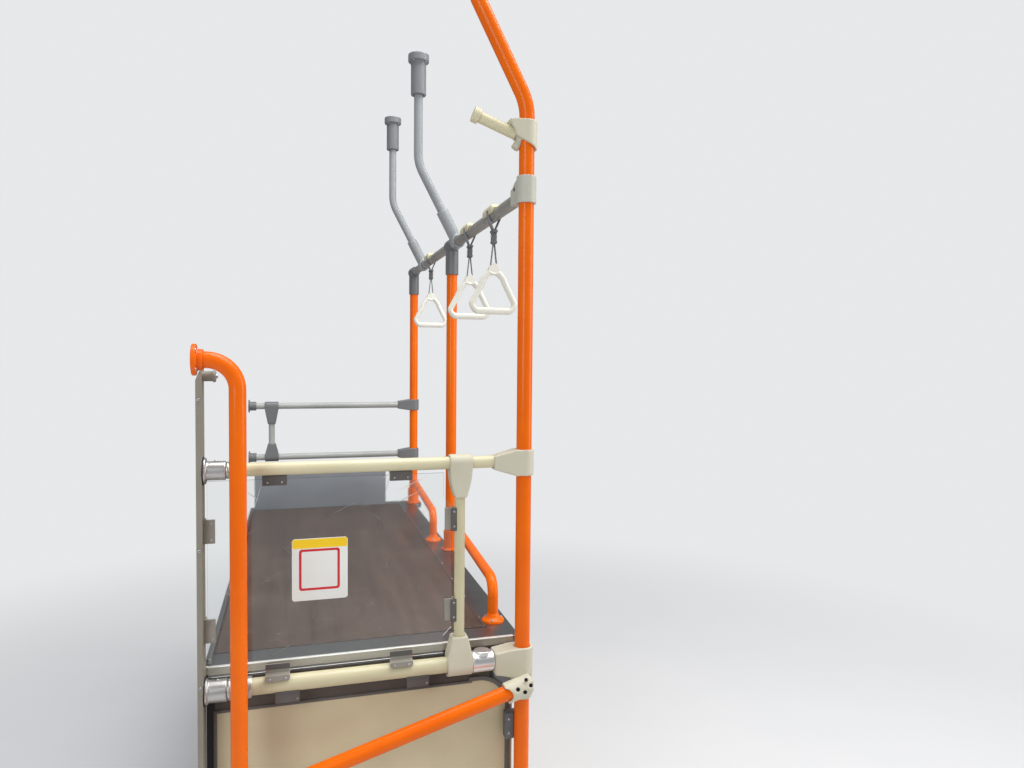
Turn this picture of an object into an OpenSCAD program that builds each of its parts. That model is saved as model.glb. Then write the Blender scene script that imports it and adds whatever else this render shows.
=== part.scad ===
// Luggage rack bay of an airport passenger bus, over the front wheel arch.
// Millimetres. X runs from the side wall to the aisle, Y to the front of the bus, Z up.
// The origin is the foot of the rear stanchion on the bus floor.

/* [Bay] */
// distance between stanchions along the aisle
bay_pitch = 800; // [600:10:1000]
// from the stanchion axis to the side wall
bay_width = 676; // [560:1:800]
// top of the luggage deck above the floor
deck_z = 800; // [740:1:860]
// ceiling above the floor
ceiling_z = 2366; // [2200:1:2450]

/* [Tubes] */
// stanchions and lower rail
stanchion_d = 34; // [30:0.1:38]
// upper rail of the rear guard
upper_rail_d = 27.2; // [22:0.1:32]
// small post of the rear guard
guard_post_d = 23; // [20:0.1:27]
// grab rail beside the door
door_rail_d = 31.8; // [28:0.1:36]
// low rails along the aisle edge
aisle_rail_d = 25.4; // [22:0.1:30]
// overhead rail that carries the straps
strap_rail_d = 30; // [26:0.1:34]
// hangers from the ceiling
hanger_d = 27; // [22:0.1:30]
// rails and post of the front guard
front_rail_d = 25.4; // [22:0.1:30]
// gap between a tube and the casting around it
seat_gap = 0.3; // [0.1:0.05:0.5]

/* [Heights] */
// axis of the rear guard's upper rail
upper_rail_z = 1207; // [1100:1:1300]
// axis of the rear guard's lower rail
lower_rail_z = 762; // [730:1:770]
// axis of the strap rail
strap_rail_z = 1800; // [1700:1:1900]
// axis of the front guard's upper rail
front_upper_z = 1228; // [1150:1:1300]
// axis of the front guard's lower rail
front_lower_z = 1017; // [980:1:1060]
// axis of the low aisle rails
aisle_rail_z = 900; // [870:1:940]
// middle of the overhead tee above the strap rail
overhead_gap = 125; // [100:1:150]

/* [Straps] */
// distance of each hand strap ahead of the rear stanchion
strap_y = [275, 545, 1187];
// top of the handle above the floor
handle_top_z = 1678; // [1640:1:1700]
// width of the handle
handle_w = 126; // [110:1:140]
// thickness of the handle's bar
handle_bar_d = 16; // [13:0.5:20]

/* [Hidden] */
$fn = 64;

wall_x = -bay_width;
stanchion_r = stanchion_d / 2;
mid_y = bay_pitch;
front_y = 2 * bay_pitch;
post_x = -146;
front_post_x = wall_x + 90;

// deck
deck_x0 = wall_x + 6;
deck_x1 = 2;
deck_y0 = 28;
deck_y1 = front_y + 50;
deck_lip = 20;
sheet_t = 4;
border_w = 68;
pole_pad_r = 34;

// base
base_x0 = wall_x + 26;
base_x1 = -16;
base_y0 = deck_y0 + 6;
base_y1 = deck_y1 - 6;
beam_h = 40;
beam_w = 30;
leg_w = 40;
plate_t = 6;
top_frame_z = deck_z - sheet_t - beam_h;
arch_r = 540;
arch_t = 4;
arch_y = (base_y0 + base_y1) / 2;
arch_z = top_frame_z - arch_r - arch_t - seat_gap;
arch_x0 = wall_x + 16;
arch_x1 = -150;

// upright at the wall
upright_t = 10;
upright_x = wall_x + upright_t;

// rear stanchion above its overhead tee: two equal bends lead to the ceiling socket
ceiling_dx = 125;
socket_l = 96;
socket_in = 16;
hanger_socket_l = 124;
hanger_socket_r = 23.5;
hanger_flange_h = 24;
overhead_tee_z = strap_rail_z + overhead_gap;
top_bend_z = overhead_tee_z + 40;
top_rise = ceiling_z - socket_l - 10 - top_bend_z;
top_bend_r = 0.585 * (top_rise * top_rise + ceiling_dx * ceiling_dx) / (4 * ceiling_dx);
top_side = 2 * top_bend_r - ceiling_dx;
top_lean = atan2(top_rise, top_side)
  - acos(2 * top_bend_r / sqrt(top_rise * top_rise + top_side * top_side));
top_bend_dx = top_bend_r * (1 - cos(top_lean));
top_bend_dz = top_bend_r * sin(top_lean);

// hangers: they lean to the wall side, then bend up into the ceiling socket
hanger_y = [720, 1345];
bend_r = 120;
lean = 28;
bend_dx = bend_r * (1 - cos(lean));
bend_dz = bend_r * sin(lean);
hanger_run = (ceiling_dx - bend_dx) / sin(lean);

// handle
handle_bar_r = handle_bar_d / 2;
handle_corner = 16;
handle_crown = 5;
handle_tilt = 29;
crown_r = handle_bar_r + handle_crown + 0.6;
handle_half = handle_w / 2 - handle_bar_r - handle_corner;
handle_crown_z = handle_top_z - crown_r;
handle_bar_len = (handle_half + (handle_corner - handle_crown) * cos(handle_tilt))
  / sin(handle_tilt);
handle_corner_z = handle_crown_z - (handle_corner - handle_crown) * sin(handle_tilt)
  - handle_bar_len * cos(handle_tilt);
handle_bottom_z = handle_corner_z - handle_corner;

// colours
ORANGE = [0.92, 0.38, 0.05];
IVORY = [0.86, 0.83, 0.76];
CREAM = [0.85, 0.80, 0.66];
STEEL = [0.72, 0.73, 0.75];
GREY = [0.50, 0.51, 0.54];
DARK = [0.12, 0.12, 0.13];
BROWN = [0.33, 0.25, 0.22];
CLEAR = [0.8, 0.88, 0.9, 0.35];
WHITE = [0.9, 0.9, 0.88];

// Shared shapes

// box between two corners
module span(a, b) {
  translate(a) cube([b[0] - a[0], b[1] - a[1], b[2] - a[2]]);
}

// round bar along X, Y or Z
module bar_x(x0, x1, y, z, r) {
  translate([x0, y, z]) rotate([0, 90, 0]) cylinder(r = r, h = x1 - x0);
}
module bar_y(y0, y1, x, z, r) {
  translate([x, y0, z]) rotate([-90, 0, 0]) cylinder(r = r, h = y1 - y0);
}
module bar_z(z0, z1, x, y, r) {
  translate([x, y, z0]) cylinder(r = r, h = z1 - z0);
}

// piece of a ring in the XZ plane, from angle a0 to a1 seen with X right and Z up
module ring_xz(ring_r, r, a0, a1) {
  rotate([90, 0, 0]) rotate([0, 0, a0]) rotate_extrude(angle = a1 - a0)
    translate([ring_r, 0]) circle(r = r);
}

// bend of a tube: 1 mm of arc sits inside the straight tube at each joined end
module bend_xz(ring_r, r, a0, a1, join0 = 1, join1 = 1) {
  lap = 57.3 / ring_r;
  ring_xz(ring_r, r - 0.05, a0 - lap * join0, a1 + lap * join1);
}

// ring of webbing around a bar at the origin, drawn to a point at height reach
module webbing_2d(r, reach, half) {
  far = sqrt(half * half + reach * reach);
  turn = atan2(half, reach) + acos(r / far);
  circle(r = r);
  polygon([
    [-r * sin(turn), r * cos(turn)], [-half, reach],
    [half, reach], [r * sin(turn), r * cos(turn)], [0, -r * 0.2]
  ]);
}
module webbing(r, t, reach, w) {
  linear_extrude(height = w, center = true) difference() {
    webbing_2d(r + t, reach, t + 0.4);
    webbing_2d(r, reach - 4, 0.2);
  }
}

// casting where a small post meets a rail: wide at the rail, narrow at the post
module post_tee(side_r, half, rise, shoulder, neck, drop) {
  intersection() {
    rotate([90, 0, 0]) linear_extrude(height = 4 * side_r, center = true)
      polygon([
        [-half, rise], [half, rise], [half, -shoulder],
        [neck, -drop], [-neck, -drop], [-half, -shoulder]
      ]);
    rotate([90, 0, 90]) linear_extrude(height = 2 * half + 2, center = true) union() {
      circle(r = side_r);
      polygon([[-side_r, 0], [side_r, 0], [neck, -drop], [-neck, -drop]]);
    }
  }
}

// casting on a stanchion with a branch to the wall side
module branch_tee(side_r, up, down, reach, branch_up, branch_down, branch_half) {
  intersection() {
    rotate([90, 0, 0]) linear_extrude(height = 4 * side_r, center = true)
      polygon([
        [side_r + 2, up], [-side_r, up], [-reach, branch_up],
        [-reach, -branch_down], [-side_r, -down], [side_r + 2, -down]
      ]);
    linear_extrude(height = 3 * (up + down), center = true) union() {
      circle(r = side_r);
      polygon([[0, side_r], [-reach, branch_half], [-reach, -branch_half], [0, -side_r]]);
    }
  }
}

// Base and deck

module deck_tray() {
  color(STEEL) {
    difference() {
      span([deck_x0, deck_y0, deck_z - deck_lip], [deck_x1, deck_y1, deck_z]);
      span([deck_x0 + sheet_t, deck_y0 + sheet_t, deck_z - deck_lip - 1],
        [deck_x1 - sheet_t, deck_y1 - sheet_t, deck_z - sheet_t]);
    }
    for (y = [mid_y, front_y]) intersection() {
      bar_z(deck_z - deck_lip, deck_z, 0, y, pole_pad_r);
      span([deck_x1 - sheet_t, y - 60, 0], [80, y + 60, deck_z + 1]);
    }
  }
}

module deck_mat() {
  color(BROWN)
    span([deck_x0 + 14, deck_y0 + border_w, deck_z],
      [deck_x1 - border_w, deck_y1 - 60, deck_z + 2]);
}

module deck_rim() {
  color(STEEL)
    span([deck_x0 + 2, deck_y0 + 12, deck_z], [deck_x0 + 13, deck_y1 - 62, deck_z + 12]);
}

module base_top_frame() {
  color(GREY) {
    for (x = [base_x0, base_x1 - beam_w])
      span([x, base_y0, top_frame_z], [x + beam_w, base_y1, top_frame_z + beam_h]);
    for (k = [0:4]) {
      y = base_y0 + k * (base_y1 - base_y0 - beam_w) / 4;
      span([base_x0 + beam_w + 0.3, y, top_frame_z],
        [base_x1 - beam_w - 0.3, y + beam_w, top_frame_z + beam_h]);
    }
  }
}

module base_legs() {
  color(GREY)
    for (x = [base_x0, base_x1 - leg_w]) for (y = [base_y0, base_y1 - leg_w])
      span([x, y, plate_t], [x + leg_w, y + leg_w, top_frame_z]);
}

module base_cross_beams() {
  color(GREY) {
    for (y = [base_y0, base_y1 - beam_w])
      span([base_x0 + leg_w + 0.3, y, 60], [base_x1 - leg_w - 0.3, y + beam_w, 60 + beam_h]);
    span([base_x1 - beam_w, base_y0 + leg_w + 0.3, 60],
      [base_x1, base_y1 - leg_w - 0.3, 60 + beam_h]);
  }
}

// one bolt hole in each plate, on the inner side of its leg
foot_hole_r = 5.5;
foot_plate_l = 96;
foot_hole_in = 76;
module base_foot_plates() {
  color(GREY)
    for (sx = [0, 1]) for (sy = [0, 1]) difference() {
      x = sx == 0 ? base_x0 : base_x1 - foot_plate_l;
      y = sy == 0 ? base_y0 : base_y1 - leg_w;
      hx = sx == 0 ? base_x0 + foot_hole_in : base_x1 - foot_hole_in;
      hy = sy == 0 ? base_y0 + leg_w / 2 : base_y1 - leg_w / 2;
      span([x, y, 0], [x + foot_plate_l, y + leg_w, plate_t]);
      bar_z(-1, plate_t + 1, hx, hy, foot_hole_r);
    }
}

module arch_2d(r, low) {
  translate([arch_y, 0]) {
    intersection() {
      translate([0, arch_z]) circle(r = r);
      translate([-r - 1, arch_z]) square([2 * r + 2, r + 1]);
    }
    translate([-r, low]) square([2 * r, arch_z - low]);
  }
}
module wheel_arch() {
  color(DARK) {
    translate([arch_x0, 0, 0]) rotate([90, 0, 90])
      linear_extrude(height = arch_x1 - arch_x0) difference() {
        arch_2d(arch_r + arch_t, 0);
        arch_2d(arch_r, -1);
      }
    translate([arch_x1 - arch_t, 0, 0]) rotate([90, 0, 90])
      linear_extrude(height = arch_t) arch_2d(arch_r + 1, 0);
    for (y = [arch_y - arch_r - arch_t - 36, arch_y + arch_r])
      span([arch_x0, y, 0], [arch_x1, y + arch_t + 36, arch_t]);
  }
}

panel_x0 = base_x0;
panel_x1 = -30;
panel_z0 = 40;
panel_z1 = deck_z - 95;
panel_corner = 65;
module rear_panel_2d(grow) {
  difference() {
    translate([panel_x0, panel_z0])
      square([panel_x1 + grow - panel_x0, panel_z1 + grow - panel_z0]);
    translate([panel_x1 - panel_corner, panel_z1 - panel_corner])
      square(panel_corner + grow + 1);
  }
  intersection() {
    translate([panel_x1 - panel_corner, panel_z1 - panel_corner])
      circle(r = panel_corner + grow);
    translate([panel_x1 - panel_corner - 1, panel_z1 - panel_corner - 1])
      square(panel_corner + grow + 2);
  }
}
module rear_panel() {
  color(CREAM) translate([0, base_y0, 0]) rotate([90, 0, 0])
    linear_extrude(height = sheet_t) rear_panel_2d(0);
}
module rear_panel_trim() {
  color(DARK) translate([0, base_y0, 0]) rotate([90, 0, 0])
    linear_extrude(height = sheet_t + 4) difference() {
      rear_panel_2d(10);
      rear_panel_2d(0);
      translate([panel_x0 - 1, 0]) square([panel_x1 - panel_corner - 20 - panel_x0, 1000]);
    }
}

module side_panel() {
  color(CREAM)
    span([base_x1, base_y0, panel_z0], [base_x1 + sheet_t, base_y1, top_frame_z]);
}
module front_base_panel() {
  color(CREAM)
    span([base_x0, base_y1, panel_z0], [base_x1, base_y1 + sheet_t, top_frame_z]);
}

panel_clip_h = 59;
panel_clip_z = lower_rail_z - 189;
module panel_clip() {
  color(DARK) difference() {
    span([-36, 4, panel_clip_z], [-8, base_y0 - sheet_t - 4, panel_clip_z + panel_clip_h]);
    bar_z(panel_clip_z - 1, panel_clip_z + panel_clip_h + 1, 0, 0, stanchion_r + seat_gap);
  }
}

upright_w = 54;
upright_top_z = upper_rail_z + 205;
peg_z = upright_top_z - 17;
peg_l = 20;
peg_r = 10;
module wall_upright() {
  color(IVORY) {
    translate([0, upright_w / 2, 0]) rotate([90, 0, 0]) linear_extrude(height = upright_w)
      polygon([
        [wall_x, 0], [upright_x, 0], [upright_x, upright_top_z], [wall_x, upright_top_z - 24]
      ]);
    bar_x(upright_x - 2, upright_x + peg_l, 0, peg_z, peg_r);
    translate([upright_x + peg_l, 0, peg_z]) rotate([0, 90, 0])
      cylinder(r1 = peg_r + 2.5, r2 = peg_r + 1, h = 5);
  }
}

// Stanchions

foot_bolt_pcd = 59;
foot_bolt_r = 3;
module stanchion_foot() {
  color(ORANGE) difference() {
    union() {
      bar_z(0, 8, 0, 0, 36);
      bar_z(0, 60, 0, 0, 21);
    }
    bar_z(8, 61, 0, 0, stanchion_r + seat_gap);
    for (a = [45:90:315]) rotate([0, 0, a])
      bar_z(-1, 9, foot_bolt_pcd / 2, 0, foot_bolt_r);
  }
}

module stanchion_rear() {
  color(ORANGE) bar_z(8, overhead_tee_z, 0, 0, stanchion_r);
}

top_run = (ceiling_dx - 2 * top_bend_dx) / sin(top_lean);
top_end_z = top_bend_z + top_rise;
module stanchion_rear_top() {
  color(ORANGE) {
    bar_z(overhead_tee_z, top_bend_z, 0, 0, stanchion_r);
    translate([-top_bend_r, 0, top_bend_z]) bend_xz(top_bend_r, stanchion_r, 0, top_lean);
    translate([-top_bend_dx, 0, top_bend_z + top_bend_dz]) rotate([0, -top_lean, 0])
      cylinder(r = stanchion_r, h = top_run);
    translate([-ceiling_dx + top_bend_r, 0, top_end_z])
      bend_xz(top_bend_r, stanchion_r, 180, 180 + top_lean);
    bar_z(top_end_z, ceiling_z - socket_in, -ceiling_dx, 0, stanchion_r);
  }
}

pole_top_z = strap_rail_z - strap_rail_d / 2 - 4;
module deck_stanchions() {
  color(ORANGE) for (y = [mid_y, front_y])
    bar_z(deck_z + 6, pole_top_z, 0, y, stanchion_r);
}

deck_foot_h = 64;
module deck_feet() {
  color(ORANGE) for (y = [mid_y, front_y]) difference() {
    union() {
      bar_z(deck_z, deck_z + 6, 0, y, 30);
      bar_z(deck_z, deck_z + deck_foot_h, 0, y, 23);
    }
    bar_z(deck_z + 6, deck_z + deck_foot_h + 1, 0, y, stanchion_r + seat_gap);
  }
}

// Rear guard

module upper_rail() {
  color(CREAM) bar_x(upright_x + 8, -20, 0, upper_rail_z, upper_rail_d / 2);
}
module lower_rail() {
  color(CREAM) bar_x(upright_x + 8, -20, 0, lower_rail_z, stanchion_r);
}

post_top_z = upper_rail_z - upper_rail_d / 2 - 3;
post_bottom_z = lower_rail_z + stanchion_r + 3;
module guard_post() {
  color(CREAM) bar_z(post_bottom_z, post_top_z, post_x, 0, guard_post_d / 2);
}

module post_tees() {
  color(IVORY) {
    difference() {
      translate([post_x, 0, upper_rail_z]) post_tee(19, 28, 20, 14, 15.5, 76);
      bar_x(post_x - 40, post_x + 40, 0, upper_rail_z, upper_rail_d / 2 + seat_gap);
      bar_z(upper_rail_z - 90, post_top_z, post_x, 0, guard_post_d / 2 + seat_gap);
    }
    difference() {
      translate([post_x, 0, lower_rail_z]) mirror([0, 0, 1]) post_tee(23, 28, 34, 20, 17, 66);
      bar_x(post_x - 40, post_x + 40, 0, lower_rail_z, stanchion_r + seat_gap);
      bar_z(post_bottom_z, lower_rail_z + 90, post_x, 0, guard_post_d / 2 + seat_gap);
    }
  }
}

module stanchion_tees() {
  color(IVORY) {
    difference() {
      translate([0, 0, upper_rail_z - 3]) branch_tee(22, 29, 29, 72, 16, 14, 17);
      bar_z(upper_rail_z - 60, upper_rail_z + 60, 0, 0, stanchion_r + seat_gap);
      bar_x(-80, -20, 0, upper_rail_z, upper_rail_d / 2 + seat_gap);
    }
    difference() {
      translate([0, 0, lower_rail_z - 6]) branch_tee(24, 32, 32, 68, 26, 22, 23);
      bar_z(lower_rail_z - 60, lower_rail_z + 60, 0, 0, stanchion_r + seat_gap);
      bar_x(-80, -20, 0, lower_rail_z, stanchion_r + seat_gap);
    }
  }
}

sleeve_x0 = -120;
sleeve_x1 = -68.5;
module rail_sleeve() {
  color(STEEL) difference() {
    union() {
      bar_x(sleeve_x0 + 2, sleeve_x1, 0, lower_rail_z, 23);
      bar_z(lower_rail_z, lower_rail_z + 30, (sleeve_x0 + sleeve_x1) / 2, 0, 18);
    }
    bar_x(sleeve_x0, sleeve_x1 + 1, 0, lower_rail_z, stanchion_r + seat_gap);
  }
}

module wall_socket(z, r_flange, r, rail_r) {
  difference() {
    union() {
      bar_x(upright_x, upright_x + 6, 0, z, r_flange);
      bar_x(upright_x, upright_x + 43, 0, z, r);
    }
    bar_x(upright_x + 8, upright_x + 60, 0, z, rail_r + seat_gap);
  }
}
module wall_sockets() {
  color(STEEL) {
    wall_socket(upper_rail_z, 26, 19, upper_rail_d / 2);
    wall_socket(lower_rail_z, 26, 22.5, stanchion_r);
  }
}

module collar(x0, x1, z, r, rail_r) {
  difference() {
    bar_x(x0, x1, 0, z, r);
    bar_x(x0 - 1, x1 + 1, 0, z, rail_r + seat_gap);
  }
}
module rail_collars() {
  color(IVORY) {
    collar(upright_x + 43.3, upright_x + 49, upper_rail_z, 17, upper_rail_d / 2);
    collar(upright_x + 43.3, upright_x + 50, lower_rail_z, 21, stanchion_r);
    collar(upright_x + 76, upright_x + 90, lower_rail_z, 21.5, stanchion_r);
  }
}

screen_x0 = upright_x + 7;
screen_x1 = post_x - 18;
screen_z0 = lower_rail_z + 28;
screen_z1 = upper_rail_z - 21;
screen_half = 2;
module screen() {
  color(CLEAR) translate([0, screen_half, 0]) rotate([90, 0, 0])
    linear_extrude(height = 2 * screen_half)
      polygon([
        [screen_x0, screen_z0], [post_x - 36, screen_z0], [post_x - 36, lower_rail_z + 66],
        [screen_x1, lower_rail_z + 84], [screen_x1, upper_rail_z - 92],
        [post_x - 36, upper_rail_z - 74], [post_x - 36, screen_z1], [screen_x0, screen_z1]
      ]);
}

// clips hold the screen's edge with a front tongue
upper_clip_x = [upright_x + 111, post_x - 153];
lower_clip_x = [upright_x + 116, post_x - 152];
side_clip_z = [lower_rail_z + 100, upper_rail_z - 145];
clip_l = 48;
upper_clip_h = 20;
lower_clip_rise = 8;
tongue_y0 = -screen_half - 4;
tongue_y1 = -screen_half;
module screen_clips() {
  color(GREY) {
    for (x = upper_clip_x) {
      z = upper_rail_z - upper_rail_d / 2;
      span([x, tongue_y0, z - upper_clip_h], [x + clip_l, tongue_y1, z - 0.3]);
      span([x, tongue_y0, z - 6], [x + clip_l, 8, z - 0.3]);
    }
    for (x = lower_clip_x) {
      span([x, -stanchion_r - 4, lower_rail_z + lower_clip_rise],
        [x + clip_l, -stanchion_r - 0.3, screen_z0 - 2]);
      span([x, -stanchion_r - 4, screen_z0 - 6], [x + clip_l, tongue_y1, screen_z0 - 2]);
      span([x, tongue_y0, screen_z0 - 6], [x + clip_l, tongue_y1, screen_z0 + 16]);
    }
    for (z = side_clip_z) {
      span([post_x - 34, tongue_y0, z], [post_x - 12, tongue_y1, z + clip_l]);
      span([post_x - 16, tongue_y0, z], [post_x - 12, 10, z + clip_l]);
      span([upright_x, tongue_y0, z], [upright_x + 22, tongue_y1, z + clip_l]);
      span([upright_x, tongue_y0, z], [upright_x + 4, 14, z + clip_l]);
    }
  }
}

module rounded(w, h, r) {
  translate([r, 0]) square([w - 2 * r, h]);
  translate([0, r]) square([w, h - 2 * r]);
  for (x = [r, w - r]) for (y = [r, h - r]) translate([x, y]) circle(r = r);
}
sign_w = 112;
sign_h = 129;
sign_x = upright_x + 168;
sign_z = lower_rail_z + 169;
module sign_plate() {
  color(WHITE) translate([sign_x, tongue_y1, sign_z]) rotate([90, 0, 0])
    linear_extrude(height = 1.2) rounded(sign_w, sign_h, 6);
}

// Grab rail beside the door

door_y = -70;
door_x = wall_x + 80;
door_top_z = 1428;
door_bend = 56;
elbow_drop = 200;
elbow_z = lower_rail_z - elbow_drop;
elbow_r = 60;
brace_end_x = -14;
brace_drop = 35;
brace_end_z = lower_rail_z - brace_drop;
brace_angle = atan2(brace_end_z - elbow_z, brace_end_x - door_x);
elbow_cut = elbow_r * tan((90 + brace_angle) / 2);
brace_len = sqrt(pow(brace_end_z - elbow_z, 2) + pow(brace_end_x - door_x, 2)) - elbow_cut;
module door_rail() {
  color(ORANGE) {
    bar_x(wall_x + 8, door_x - door_bend, door_y, door_top_z, door_rail_d / 2);
    translate([door_x - door_bend, door_y, door_top_z - door_bend])
      bend_xz(door_bend, door_rail_d / 2, 0, 90);
    bar_z(elbow_z + elbow_cut, door_top_z - door_bend, door_x, door_y, door_rail_d / 2);
  }
}
module door_rail_lower() {
  color(ORANGE) {
    translate([door_x + elbow_r, door_y, elbow_z + elbow_cut])
      bend_xz(elbow_r, door_rail_d / 2, 180, 270 + brace_angle, join0 = 0);
    translate([door_x, door_y, elbow_z]) rotate([0, 90 - brace_angle, 0])
      translate([0, 0, elbow_cut]) cylinder(r = door_rail_d / 2, h = brace_len);
  }
}

door_flange_pcd = 50;
door_flange_hole_r = 2.5;
module door_rail_flange() {
  color(ORANGE) difference() {
    union() {
      bar_x(wall_x, wall_x + 8, door_y, door_top_z, 30);
      bar_x(wall_x, wall_x + 20, door_y, door_top_z, 20);
    }
    bar_x(wall_x + 8, wall_x + 21, door_y, door_top_z, door_rail_d / 2 + seat_gap);
    for (a = [45:90:315])
      bar_x(wall_x - 1, wall_x + 9, door_y + door_flange_pcd / 2 * cos(a),
        door_top_z + door_flange_pcd / 2 * sin(a), door_flange_hole_r);
  }
}

swivel_l = 60;
swivel_z1 = lower_rail_z - 38.5;
swivel_z0 = swivel_z1 - 52;
module swivel_clamp() {
  color(IVORY) difference() {
    union() {
      bar_z(swivel_z0, swivel_z1, 0, 0, 23);
      span([-18, door_y, swivel_z1 - 26], [14, 0, swivel_z1]);
      translate([brace_end_x, door_y, brace_end_z]) rotate([0, 90 - brace_angle, 0])
        translate([0, 0, 14 - swivel_l]) cylinder(r = 22, h = swivel_l);
    }
    bar_z(swivel_z0 - 1, swivel_z1 + 1, 0, 0, stanchion_r + seat_gap);
    translate([brace_end_x, door_y, brace_end_z]) rotate([0, 90 - brace_angle, 0])
      translate([0, 0, -swivel_l]) cylinder(r = door_rail_d / 2 + seat_gap, h = swivel_l);
  }
}

// Low rails along the aisle edge

riser_x = -34;
riser_dy = 130;
riser_bend = 40;
aisle_turn = atan2(-riser_x, bay_pitch - riser_dy);
aisle_bar_len = sqrt(riser_x * riser_x + pow(bay_pitch - riser_dy, 2)) - riser_bend;
module at_aisle_rails() {
  for (y = [riser_dy, bay_pitch + riser_dy])
    translate([riser_x, y, 0]) rotate([0, 0, 90 - aisle_turn]) children();
}
module aisle_risers() {
  color(ORANGE) at_aisle_rails() {
    bar_z(deck_z, deck_z + 5, 0, 0, 26);
    bar_z(deck_z, aisle_rail_z - riser_bend, 0, 0, aisle_rail_d / 2);
    translate([riser_bend, 0, aisle_rail_z - riser_bend])
      bend_xz(riser_bend, aisle_rail_d / 2, 90, 180, join0 = 0);
  }
}
module aisle_bars() {
  color(ORANGE) difference() {
    at_aisle_rails()
      bar_x(riser_bend, riser_bend + aisle_bar_len, 0, aisle_rail_z, aisle_rail_d / 2);
    for (y = [mid_y, front_y])
      bar_z(aisle_rail_z - 40, aisle_rail_z + 40, 0, y, stanchion_r + seat_gap);
  }
}

// Front guard

front_post_r = 12;
front_tee_drop = [74, 56];
front_post_z0 = front_lower_z + front_rail_d / 2 + 3;
front_post_z1 = front_upper_z - front_rail_d / 2 - 3;
module front_rails() {
  color(GREY) {
    for (z = [front_lower_z, front_upper_z])
      bar_x(wall_x + 8, -20, front_y, z, front_rail_d / 2);
    bar_z(front_post_z0, front_post_z1, front_post_x, front_y, front_post_r);
  }
}
module front_tees() {
  color(GREY) {
    difference() {
      union() {
        translate([front_post_x, front_y, front_upper_z])
          post_tee(18, 27, 19, 12, 15, front_tee_drop[0]);
        translate([front_post_x, front_y, front_lower_z]) mirror([0, 0, 1])
          post_tee(18, 27, 19, 12, 15, front_tee_drop[1]);
      }
      for (z = [front_lower_z, front_upper_z])
        bar_x(front_post_x - 40, front_post_x + 40, front_y, z, front_rail_d / 2 + seat_gap);
      bar_z(front_post_z0, front_post_z1, front_post_x, front_y, front_post_r + seat_gap);
    }
    for (z = [front_lower_z, front_upper_z]) difference() {
      translate([0, front_y, z]) branch_tee(22, 23, 23, 68, 16, 16, 16);
      bar_z(z - 60, z + 60, 0, front_y, stanchion_r + seat_gap);
      bar_x(-80, -20, front_y, z, front_rail_d / 2 + seat_gap);
    }
  }
}
module front_wall_sockets() {
  color(GREY) for (z = [front_lower_z, front_upper_z]) difference() {
    union() {
      bar_x(wall_x, wall_x + 5, front_y, z, 26);
      bar_x(wall_x, wall_x + 30, front_y, z, 18);
    }
    bar_x(wall_x + 8, wall_x + 31, front_y, z, front_rail_d / 2 + seat_gap);
  }
}
module front_panel() {
  color(GREY)
    span([deck_x0 + 16, front_y - 2, deck_z], [-120, front_y + 2, front_lower_z - 22]);
}

// Overhead

rail_y0 = 24;
rail_y1 = front_y + 42;
module strap_rail() {
  color(GREY) bar_y(rail_y0, rail_y1, 0, strap_rail_z, strap_rail_d / 2);
}

clamp_r = 22;
clamp_up = 37;
clamp_down = 23;
fairing_l = 62;
fairing_half = strap_rail_d / 2 + 3;
module strap_rail_clamp() {
  color(IVORY) difference() {
    union() {
      bar_z(strap_rail_z - clamp_down, strap_rail_z + clamp_up, 0, 0, clamp_r);
      translate([0, 0, strap_rail_z]) rotate([90, 0, 90])
        linear_extrude(height = 2 * clamp_r - 6, center = true) polygon([
          [0, clamp_up - 1], [30, clamp_up - 8], [48, fairing_half + 2],
          [fairing_l, fairing_half], [fairing_l, -fairing_half],
          [30, 1 - clamp_down], [0, 1 - clamp_down]
        ]);
    }
    bar_z(strap_rail_z - 60, strap_rail_z + 60, 0, 0, stanchion_r + seat_gap);
    bar_y(rail_y0, 80, 0, strap_rail_z, strap_rail_d / 2 + seat_gap);
  }
}

connector_half = 34;
connector_drop = 96;
connector_r = 21;
module pole_connectors() {
  color(GREY) for (y = [mid_y, front_y]) difference() {
    union() {
      bar_y(y - connector_half, y + connector_half, 0, strap_rail_z, connector_r);
      bar_z(strap_rail_z - connector_drop, strap_rail_z, 0, y, connector_r);
    }
    bar_y(y - connector_half - 1, y + connector_half + 1, 0, strap_rail_z,
      strap_rail_d / 2 + seat_gap);
    bar_z(strap_rail_z - connector_drop - 1, pole_top_z, 0, y, stanchion_r + seat_gap);
  }
}

hanger_from = strap_rail_d / 2 + 6;
hanger_top_z = strap_rail_z + hanger_run * cos(lean) + bend_dz;
module hangers() {
  color(IVORY) for (y = hanger_y) {
    translate([0, y, strap_rail_z]) rotate([0, -lean, 0])
      translate([0, 0, hanger_from])
        cylinder(r = hanger_d / 2, h = hanger_run - hanger_from);
    translate([-ceiling_dx + bend_r, y, hanger_top_z])
      bend_xz(bend_r, hanger_d / 2, 180, 180 + lean);
    bar_z(hanger_top_z, ceiling_z - socket_in, -ceiling_dx, y, hanger_d / 2);
  }
}

module hanger_clamps() {
  color(GREY) for (y = hanger_y) difference() {
    union() {
      bar_y(y - 24, y + 24, 0, strap_rail_z, 21);
      translate([0, y, strap_rail_z]) rotate([0, -lean, 0]) cylinder(r = 19, h = 106);
    }
    bar_y(y - 40, y + 40, 0, strap_rail_z, strap_rail_d / 2 + seat_gap);
    translate([0, y, strap_rail_z]) rotate([0, -lean, 0])
      translate([0, 0, hanger_from]) cylinder(r = hanger_d / 2 + seat_gap, h = 100);
  }
}

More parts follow.
